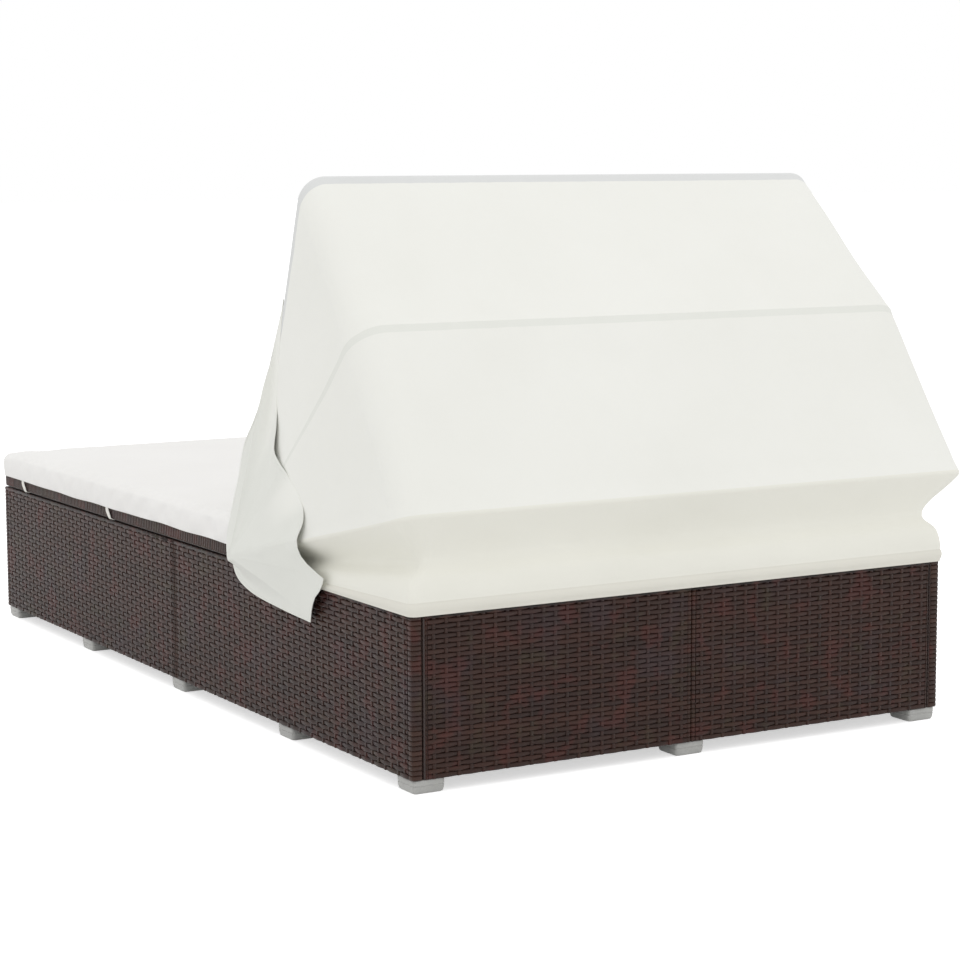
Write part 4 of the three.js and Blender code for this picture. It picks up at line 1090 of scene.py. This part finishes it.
# Skirt: drawn in under the rear hoop, then out over the top edge of the box
box_half = Vector((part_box("side_panel_head_right")[1].x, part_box("end_panel_head_right")[1].y))
skirt_plan = hoop_plan(rear, SKIRT_START, *CLOTH_STATIONS)
skirt_line = on_hoop(rear, skirt_plan)
mid_partner = cloth_line(mid, SKIRT_START * mid.reach / rear.reach)
skirt_normals = square_to(strip_normals(skirt_line, mid_partner), skirt_line)


def skirt_outline(stand_off):
    """The skirt's outline in plan, station by station below the rear hoop."""
    x_half = box_half.x + stand_off
    y_half = box_half.y + stand_off
    leg_end = rear.reach - rear.corner
    bar_end = rear.half - rear.corner
    leg_from = PIVOT.y + SKIRT_START * math.cos(rear.tilt)
    places = []
    for x, r in skirt_plan:
        side = math.copysign(1, x)
        if r < leg_end:
            share = (r - SKIRT_START) / (leg_end - SKIRT_START)
            places.append((side * x_half, leg_from + (y_half - SKIRT_CORNER - leg_from) * share))
        elif abs(x) > bar_end:
            angle = math.asin(min((r - leg_end) / rear.corner, 1))
            places.append((side * (x_half - SKIRT_CORNER * (1 - math.cos(angle))),
                           y_half - SKIRT_CORNER * (1 - math.sin(angle))))
        else:
            places.append((x / bar_end * (x_half - SKIRT_CORNER), y_half))
    return np.array(places)


hem_plan = skirt_outline(SKIRT_STAND_OFF)
drawn_plan = skirt_outline(SKIRT_STAND_OFF - SKIRT_PINCH)
heights = skirt_line[:, 2] - SKIRT_BOTTOM
draw = smoothstep(heights / heights.max(), 0.1, 1)[:, None]


def at_height(plan, share):
    """A plan of the skirt at a share of its height."""
    return np.column_stack([plan, SKIRT_BOTTOM + heights * share])


pinch = at_height(hem_plan + (drawn_plan - hem_plan) * draw - np.array([SKIRT_PINCH_SIDES, 0]) * draw,
                  PINCH_LEVEL)
ease = at_height(hem_plan + (drawn_plan - hem_plan) * draw / 4, EASE_LEVEL)
hem_top = at_height(hem_plan, HEM_LEVEL)
hem_bottom = at_height(hem_plan, 0.0)


def over_rear_hoop():
    """Rows over the rear hoop, from the rear gore's edge to where the cloth leaves for the pinch."""
    along = unit(np.gradient(skirt_line, axis=0))
    to_pinch = pinch - skirt_line
    to_pinch -= (to_pinch * along).sum(1, keepdims=True) * along
    reach = np.linalg.norm(to_pinch, axis=1, keepdims=True)
    to_pinch = unit(to_pinch)
    out = unit(np.cross(along, to_pinch))
    out = np.where((out * skirt_normals).sum(1, keepdims=True) < 0, -out, out)
    lean = np.minimum(CLOTH_OFFSET / reach, 1)
    leaving = out * np.sqrt(1 - lean ** 2) + to_pinch * lean
    return [skirt_line + CLOTH_OFFSET * slerp(skirt_normals, leaving, share)
            for share in np.linspace(0, 1, OVER_REAR_ROWS)]


def with_hem(rows, hem_from):
    """Rolls the hem's rows out a little, with a crease along its seam."""
    out = np.column_stack([unit(hem_plan - drawn_plan), np.zeros(len(hem_plan))])
    for i in range(hem_from, len(rows)):
        share = (i - hem_from) / HEM_ROWS
        rolled = HEM_ROLL * math.sin(math.pi * min(share * 1.1, 1))
        rows[i] += out * (rolled - HEM_CREASE * math.exp(-(share / HEM_CREASE_RUN) ** 2))
    return rows


over_rear = over_rear_hoop()
fall = through([over_rear[-1], pinch, ease, hem_top, hem_bottom], [12, 6, 5, HEM_ROWS])[1:]
hem_from = len(over_rear) + len(fall) - HEM_ROWS - 1
skirt_grid = with_hem(np.array(over_rear + fall), hem_from)
free = [0.0] * len(over_rear) + list(np.sin(np.linspace(0, math.pi, len(fall))) ** 0.7)
skirt_grid = rippled(skirt_grid, length=0.13, depth=0.0022, seed=8, free=free)
shares = np.array([1.0] * len(over_rear) + list(np.linspace(1, 0, len(fall) + 1)[1:]))
skirt, skirt_area = cloth_piece("canopy_skirt_cloth", skirt_grid, grid_normals(skirt_grid),
                                [skirt_cloth, hem_cloth], shares[:, None], range(hem_from, len(skirt_grid)))
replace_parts(bend(skirt, "base", "rear_bow"), "canopy_skirt")


# Side flaps: outline in the side plane as (ahead of the pivot, above it), from the top of its front edge down
FLAP_FRONT = [(0.158, 0.487), (0.133, 0.422), (0.114, 0.374), (0.096, 0.331), (0.066, 0.275), (0.032, 0.231),
              (0.002, 0.193), (-0.034, 0.138), (-0.054, 0.088), (-0.054, 0.048), (-0.050, 0.014),
              (-0.046, -0.014)]
FLAP_BOTTOM = [(-0.046, -0.014), (-0.036, -0.034), (-0.016, -0.050), (0.020, -0.062), (0.075, -0.071),
               (0.187, -0.078), (0.305, -0.082)]
FLAP_NOTCH = [(0.305, -0.082), (0.316, -0.054), (0.332, -0.032), (0.359, -0.013), (0.374, 0.009)]
FLAP_LOWER_SLIT = [(0.374, 0.009), (0.322, 0.027), (0.306, 0.038), (0.302, 0.057), (0.303, 0.077),
                   (0.306, 0.100), (0.296, 0.121)]
FLAP_JOIN = [(0.296, 0.121), (0.285, 0.132), (0.257, 0.152), (0.232, 0.168), (0.217, 0.181)]
FLAP_UPPER_SLIT = [(0.217, 0.181), (0.185, 0.200), (0.164, 0.222), (0.160, 0.252), (0.153, 0.272)]
FLAP_TOP = [(0.153, 0.272), (0.141, 0.305), (0.139, 0.342), (0.145, 0.390), (0.156, 0.440), (0.165, 0.490),
            (0.158, 0.487)]
# In degrees, its slits: middle, width and how far the edge stands off; and its sewn edges: middle and width
FLAP_LIFTS = [(52.0, 6.0, 0.008), (11.5, 6.0, 0.010)]
FLAP_SEWN = [(31.0, 8.0), (68.0, 6.0)]


def flap_outline(steps=12):
    """The flap's rim as angles about the pivot, rising, and its distance at each."""
    rim = []
    for keys in (FLAP_FRONT, FLAP_BOTTOM, FLAP_NOTCH, FLAP_LOWER_SLIT, FLAP_JOIN, FLAP_UPPER_SLIT, FLAP_TOP):
        rim += through([np.array(key) for key in keys], [steps] * (len(keys) - 1))[:-1]
    rim = np.array(rim)
    angle = np.arctan2(rim[:, 1], rim[:, 0])
    order = np.argsort(angle)
    return angle[order], np.linalg.norm(rim, axis=1)[order]


rim_angles, rim_reach = flap_outline()


def reach_at(angle):
    """How far the flap reaches from the pivot at an angle."""
    return np.interp(angle, rim_angles, rim_reach, period=2 * math.pi)


over_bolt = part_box("pivot_bolt_right")[1].x + FLAP_OVER_BOLT
beneath = [BVHTree.FromPolygons([tuple(p) for p in cloth.reshape(-1, 3)], grid_faces(*cloth.shape[:2]))
           for cloth in (gore_grid, skirt_grid)]


def canopy_side(y, z, side):
    """How far out the canopy lies on one side, at a place in the side plane."""
    hits = [tree.ray_cast(Vector((side, y, z)), Vector((-side, 0, 0)))[0] for tree in beneath]
    out = [hit.x * side for hit in hits if hit is not None and hit.x * side > CANOPY_SIDE_FROM]
    return max(out) if out else 0.0


def flap_rest(y, z, side):
    """What the flap lies on: the canopy, the hoops' legs and the bolt, or the box below them."""
    near = np.vectorize(canopy_side)(y, z, side)
    far = np.hypot(y - PIVOT.y, z - PIVOT.z)
    held = np.where(z < SKIRT_BOTTOM, box_half.x + FLAP_OVER_BOX, FLAP_INNERMOST)
    held = np.where(far < BOLT_HEAD_REACH, over_bolt - FLAP_CLEAR, held)
    for hoop in (rear, mid, front):
        apart = np.abs(np.arctan2(z - PIVOT.z, y - PIVOT.y) - hoop.tilt) * far
        leg = hoop.half + hoop.splay * far / hoop.reach - side * leg_sway(hoop, far)
        held = np.where(apart < LEG_REACH, np.maximum(held, leg + CLOTH_OFFSET), held)
    ahead = (np.arctan2(z - PIVOT.z, y - PIVOT.y) - front.tilt) * far
    climb = np.minimum(far / FRONT_SEAM_RUN, 1) ** FRONT_SEAM_BOW
    seam = over_bolt + (front.half - side * front.sway + CLOTH_OFFSET - over_bolt) * climb
    in_seam = (ahead > FRONT_SEAM[0]) & (ahead < FRONT_SEAM[1])
    held = np.where(in_seam, np.maximum(held, seam - FLAP_CLEAR), held)
    return np.maximum(near, held)


def sewn_share(degrees, along, free, fast):
    """How far a place on a flap, so far along its ray, belongs to a sewn edge."""
    return smoothstep(along, free, fast) * np.clip(
        sum(np.exp(-((degrees - middle) / width) ** 4) for middle, width in FLAP_SEWN), 0, 1)


def flap_sheet(side):
    """A whole flap's outer side: rays from the pivot, drawn taut over what lies under it."""
    corners = [math.atan2(y, x) for x, y in (FLAP_FRONT[0], FLAP_NOTCH[0], FLAP_LOWER_SLIT[0])]
    below, between, above = FLAP_RAYS
    angles = np.unique(np.concatenate([np.linspace(-math.pi, rear.tilt, below),
                                       np.linspace(rear.tilt, mid.tilt, between),
                                       np.linspace(mid.tilt, math.pi, above), corners]))
    reach = reach_at(angles)[:, None]
    shares = np.linspace(0, 1, FLAP_RINGS) ** 0.9
    radius = np.concatenate([shares * (reach - FLAP_HEM), reach - np.array(FLAP_HEM_INSETS)], axis=1)
    hem = np.concatenate([np.zeros(len(shares)), FLAP_HEM_RISES])
    y = PIVOT.y + radius * np.cos(angles)[:, None]
    z = PIVOT.z + radius * np.sin(angles)[:, None]
    degrees = np.degrees(angles)[:, None]
    along = radius / reach
    sewn = sewn_share(degrees, along, *SEWN_FLAT)
    rest = flap_rest(y, z, side)
    clear = rest + FLAP_CLEAR
    near = clear
    for _ in range(FLAP_TAUT):
        near = np.pad(near, ((1, 1), (1, 1)), "edge")
        near[0], near[-1] = near[-3], near[2]
        near = (near[:-2, 1:-1] + near[2:, 1:-1] + near[1:-1, :-2] + near[1:-1, 2:]) / 4
        near = np.maximum(near, clear) * (1 - sewn) + (rest + FLAP_SEWN_CLEAR) * sewn
        near[:, 0] = over_bolt
    lifted = sum(np.exp(-((degrees - middle) / width) ** 2) * height for middle, width, height in FLAP_LIFTS)
    x = near + lifted * smoothstep(along, *FLAP_LIFT_RUN) ** FLAP_LIFT_CURL + hem * (1 - sewn)
    outer = np.stack([x, y, z], -1)
    moved = ripples(outer, FLAP_RIPPLE_LENGTH, 21) * FLAP_RIPPLE
    outer[..., 0] += moved * smoothstep(radius, *FLAP_RIPPLE_RISE) * (1 - sewn)
    return outer * np.array([side, 1, 1]), angles


def flap_piece(name, side, outer, angles, bodies, turned):
    """One sector of a flap; turned gives a share for each angle in degrees, which bend drops again. The two
    bodies are not used.
    """
    normal = unit(np.cross(np.gradient(outer, axis=1), np.gradient(outer, axis=0)))
    normal *= np.sign(normal[..., :1] * side)
    normal[:, 0] = (side, 0, 0)
    shares = turned(np.degrees(angles))[:, None]
    piece, area = cloth_piece(name, outer, normal, [flap_cloth, hem_cloth], shares)
    places = np.array([vertex.co for vertex in piece.data.vertices]) - np.array(PIVOT)
    angle = np.arctan2(places[:, 2], places[:, 1])
    along = np.linalg.norm(places[:, 1:], axis=1) / reach_at(angle)
    piece.data.attributes.new("sewn", "FLOAT", "POINT").data.foreach_set(
        "value", sewn_share(np.degrees(angle), along, *SEWN_SHADED).astype(np.float32))
    size = np.ptp(outer.reshape(-1, 3), axis=0)
    float(size[1]) + 0.01
    float(size[2]) + 0.01
    bend(piece, *bodies)
    return piece


rear_angle, mid_angle, front_angle = (math.degrees(hoop.tilt) for hoop in (rear, mid, front))
SECTORS = (
    ("front", mid.tilt, math.pi, ("mid_bow", "front_bow"),
     lambda a: np.minimum(part_way(a, mid_angle, front_angle), part_way(a, 180, 90))),
    ("middle", rear.tilt, mid.tilt, ("rear_bow", "mid_bow"),
     lambda a: part_way(a, rear_angle, mid_angle)),
    ("lower", -math.pi, rear.tilt, ("base", "rear_bow"),
     lambda a: smoothstep(a, -10, rear_angle)),
)
for side_name, side in SIDES:
    outer, angles = flap_sheet(side)
    for part, start, stop, bodies, turned in SECTORS:
        own = (angles >= start - 1e-9) & (angles <= stop + 1e-9)
        flap = flap_piece(f"canopy_flap_{part}_{side_name}_cloth", side, outer[own], angles[own],
                          bodies, turned)
        if part == "lower":
            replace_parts(flap, f"canopy_flap_{side_name}")


# Mattress: a closed pad in one piece, slacker and fuller after a little air pressure
main_low, main_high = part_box("mattress_main")
head_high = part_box("mattress_head")[1]
PAD_BOTTOM = foot_high.z + PAD_OVER_DECK


def pad_plan(inset, rows, columns):
    """Plan of the pad as a grid, drawn in by inset all round."""
    y = np.asarray(rows)[:, None]
    wide = main_high.x + (head_high.x - main_high.x) * smoothstep(y, *PAD_NARROWS) - inset
    corner = max(PAD_CORNER - inset, PAD_CORNER_LEAST)
    flat = wide - corner
    u = np.asarray(columns)[None, :]
    over = np.clip(np.abs(u) - 1, 0, 1)
    x = np.sign(u) * (np.minimum(np.abs(u), 1) * flat + corner * np.sin(over * math.pi / 2))
    low, high = main_low.y + inset, head_high.y - inset
    drawn = corner * (1 - np.cos(over * math.pi / 2))
    share = (y - main_low.y) / (head_high.y - main_low.y)
    y = low + (high - low) * share + drawn * np.where(share < 0.5, 1, -1) * np.abs(1 - 2 * share) ** 6
    return np.broadcast_to(x, y.shape) + 0 * y, y + 0 * x


def pad_border(rows, columns):
    """The indices of a grid's border, once round."""
    ring = [(0, j) for j in range(columns)] + [(i, columns - 1) for i in range(1, rows)]
    ring += [(rows - 1, j) for j in range(columns - 2, -1, -1)]
    return ring + [(i, 0) for i in range(rows - 2, 0, -1)]


def underside(x, y):
    """Height of the pad's underside, which droops where it passes the deck's edge."""
    outside = np.maximum(np.abs(x) - (foot_high.x - PAD_OVERHANG), (foot_low.y + PAD_OVERHANG) - y)
    wave = 0.5 + 0.5 * ripples(np.stack([x, y, 0 * x], -1), PAD_WAVE_LENGTH, 4)
    return PAD_BOTTOM - smoothstep(outside, 0.0, PAD_DROOP_RUN) * (PAD_DROOP + PAD_WAVE * wave)


def band(start, now):
    """Faces between two rings of vertices."""
    return [(start[k], now[k], now[(k + 1) % len(now)], start[(k + 1) % len(now)]) for k in range(len(now))]


def mattress():
    """The pad, and the vertices that hold still while it swells: two seams and its underside."""
    length = head_high.y - main_low.y
    rows = np.linspace(main_low.y, head_high.y, int(length / PAD_STEP))
    flat = np.linspace(-1, 1, int(2 * main_high.x / PAD_STEP))
    turn = np.linspace(0, 1, 6)[1:]
    columns = np.concatenate([-1 - turn[::-1], flat, 1 + turn])
    thick = main_high.z - PAD_BOTTOM - PAD_CROWN
    shape = (len(rows), len(columns))
    border = pad_border(*shape)

    x, y = pad_plan(PAD_RINGS[0][0], rows, columns)
    edge = np.minimum(np.minimum(main_high.x - np.abs(x), y - main_low.y), head_high.y - y)
    crown = PAD_CROWN * (1 - (1 - np.clip(edge / PAD_CROWN_RUN, 0, 1)) ** 2)
    top = np.stack([x, y, PAD_BOTTOM + thick + crown * PAD_CROWN_CUT], -1).reshape(-1, 3)
    points = [top]
    faces = grid_faces(*shape)
    start = [i * shape[1] + j for i, j in border]
    total = len(top)
    for inset, level in PAD_RINGS[1:]:
        x, y = pad_plan(inset, rows, columns)
        bottom = underside(x, y)
        ring = np.stack([x, y, bottom + (PAD_BOTTOM + thick - bottom) * level], -1)
        points.append(np.array([ring[i, j] for i, j in border]))
        now = list(range(total, total + len(border)))
        faces += band(start, now)
        start, total = now, total + len(border)
    x, y = pad_plan(PAD_UNDER_INSET, rows, columns)
    points.append(np.stack([x, y, underside(x, y)], -1).reshape(-1, 3))
    faces += band(start, [total + i * shape[1] + j for i, j in border])
    faces += [tuple(total + v for v in face) for face in grid_faces(*shape)]
    points = np.concatenate(points)
    pad = outward(mesh_piece("mattress_pad", points, faces, [pad_cloth]))
    seams = [len(top) + len(border), len(top) + (len(PAD_RINGS) - 3) * len(border)]
    held = [v for seam in seams for v in range(seam, seam + len(border))]
    return pad, held + list(range(total, len(points)))


def swollen(piece, held, frames, pressure, slack, cap):
    """Lets a pad's cloth swell on a little air, held at its seams and where it rests."""
    group = piece.vertex_groups.new(name="held")
    group.add(held, 1.0, "REPLACE")
    cloth = piece.modifiers.new("cloth", "CLOTH")
    settings = cloth.settings
    settings.vertex_group_mass = "held"
    settings.use_pressure = True
    settings.uniform_pressure_force = pressure
    settings.shrink_min = -slack
    settings.effector_weights.gravity = 0
    settings.quality = 4
    settings.mass = 0.3
    settings.tension_stiffness = 12
    settings.compression_stiffness = 12
    settings.bending_stiffness = 0.6
    cloth.collision_settings.use_collision = False
    cloth.point_cache.frame_start = 1
    cloth.point_cache.frame_end = frames
    scene = bpy.context.scene
    for step in range(1, frames + 1):
        scene.frame_set(step)
    result = piece.evaluated_get(bpy.context.evaluated_depsgraph_get()).data
    before = np.zeros(len(piece.data.vertices) * 3)
    after = before.copy()
    piece.data.vertices.foreach_get("co", before)
    result.vertices.foreach_get("co", after)
    moved = (after - before).reshape(-1, 3)
    far = np.linalg.norm(moved, axis=1, keepdims=True)
    moved *= np.minimum(1, cap / np.maximum(far, 1e-9))
    piece.modifiers.clear()
    piece.vertex_groups.clear()
    piece.data.vertices.foreach_set("co", before + moved.ravel())
    piece.data.update()
    scene.frame_set(1)
    return piece


pad, held = mattress()
swollen(pad, held, frames=18, pressure=3.5, slack=0.02, cap=PAD_SWELL)
smoother = pad.modifiers.new("smoother", "SUBSURF")
smoother.levels = smoother.render_levels = 1
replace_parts(pad, "mattress_main", "mattress_head")
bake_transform(pad)


# Mattress ties: tape from the pad's edge over the deck's edge and into the gap below it
def ribbon(name, line, width, thickness, wide):
    """Flat tape along a line of points; wide gives its width's direction."""
    line = np.asarray(line)
    along = unit(np.gradient(line, axis=0))
    face = unit(np.cross(along, wide))
    wide = unit(np.cross(face, along))
    steps = np.linspace(-0.5, 0.5, 5)
    grid = line[:, None] + wide[:, None] * (steps * width)[None, :, None] + (face * thickness / 2)[:, None]
    return cloth_piece(name, grid, np.repeat(face[:, None], 5, 1), [tape], 0.0, thickness=thickness)


# The tape's route from its solid's outer side as (out, along the bed, up), with up from the pad's underside
# and then from the deck's
TIE_FROM_PAD = [(-0.004, -0.004, 0.006), (0.0015, -0.004, 0.0005), (0.003, -0.002, -0.009)]
TIE_FROM_DECK = [(0.0025, 0.006, 0.008), (0.0005, 0.010, 0.0008), (-0.006, 0.012, -0.0017),
                 (-0.02, 0.013, -0.0019)]
for node in sorted(n for n in frame["nodes"] if n.startswith("mattress_tie")):
    low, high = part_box(node)
    side = 1 if high.x > 0 else -1
    outside = high.x if side > 0 else -low.x
    y = (low.y + high.y) / 2
    keys = [np.array([outside, y, PAD_BOTTOM]) + route for route in TIE_FROM_PAD]
    keys += [np.array([outside, y, foot_low.z]) + route for route in TIE_FROM_DECK]
    line = np.array(through(keys, [3] * (len(keys) - 1))) * np.array([side, 1, 1])
    strap, area = ribbon(node + "_tape", line, TIE_WIDTH, TIE_THICKNESS, (0, 1, 0))
    strap.data.attributes.remove(strap.data.attributes["turn_share"])
    area / TIE_WIDTH
    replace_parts(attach(strap, "base"), node)


# CAD parts that show as they are
cad_finish = {
    "side_panel": backing, "end_panel": backing, "deck_foot": backing, "deck_seat": backing,
    "backrest_deck": backing, "cross_rail": coat, "centre_beam": coat, "centre_post": coat,
    "ratchet_rail": coat, "pivot_bracket": coat, "pivot_bolt": zinc, "stay_pin": zinc,
}
for node, part in frame["nodes"].items():
    for start, material in cad_finish.items():
        if node.startswith(start):
            part.data.materials.clear()
            part.data.materials.append(material)


# Floor, light and background
def seen_by(start, *rays):
    """1 for the rays of these kinds and 0 for others."""
    outputs = start.node("ShaderNodeLightPath").socket.node.outputs
    seen, *others = (Value(start.tree, outputs[f"Is {ray} Ray"]) for ray in rays)
    for other in others:
        seen = seen.math("MAXIMUM", other)
    return seen


def studio():
    """A floor and a sky that look white to the camera and in reflections, and one soft lamp."""
    corners = [(x * FLOOR_HALF, y * FLOOR_HALF, 0) for x, y in ((-1, -1), (1, -1), (1, 1), (-1, 1))]
    plate = mesh_piece("floor", corners, [(0, 1, 2, 3)], [])
    plate.location.z = -FLOOR_DROP
    floor = Finish("pale_floor", roughness=1.0, colour=FLOOR_COLOUR,
                   **{"Specular IOR Level": 0.0, "Emission Strength": 1.0})
    shown = seen_by(floor.place, "Camera", "Glossy")
    floor.feed("Emission Color", shown.mixed((0, 0, 0, 1), FLOOR_GLOW))
    plate.data.materials.append(floor.material)
    plate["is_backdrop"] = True
    world = bpy.data.worlds.new("studio")
    bpy.context.scene.world = world
    world.use_nodes = True
    background = world.node_tree.nodes["Background"]
    shown = seen_by(Value(world.node_tree, background.outputs[0]), "Camera", "Glossy", "Transmission")
    colour = shown.mixed(SKY_LIGHT, (1, 1, 1, 1))
    world.node_tree.links.new(colour.socket, background.inputs["Color"])
    lamp = bpy.data.lights.new("top_lamp", "AREA")
    lamp.energy = LAMP_POWER
    lamp.size = LAMP_SIZE
    holder = linked("top_lamp", lamp)
    holder.location = LAMP_PLACE
    holder.rotation_euler = (Vector(LAMP_PLACE) - Vector(LAMP_AIM)).to_track_quat("Z", "Y").to_euler()


studio()
bpy.context.scene.view_settings.view_transform = "Standard"

low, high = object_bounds()
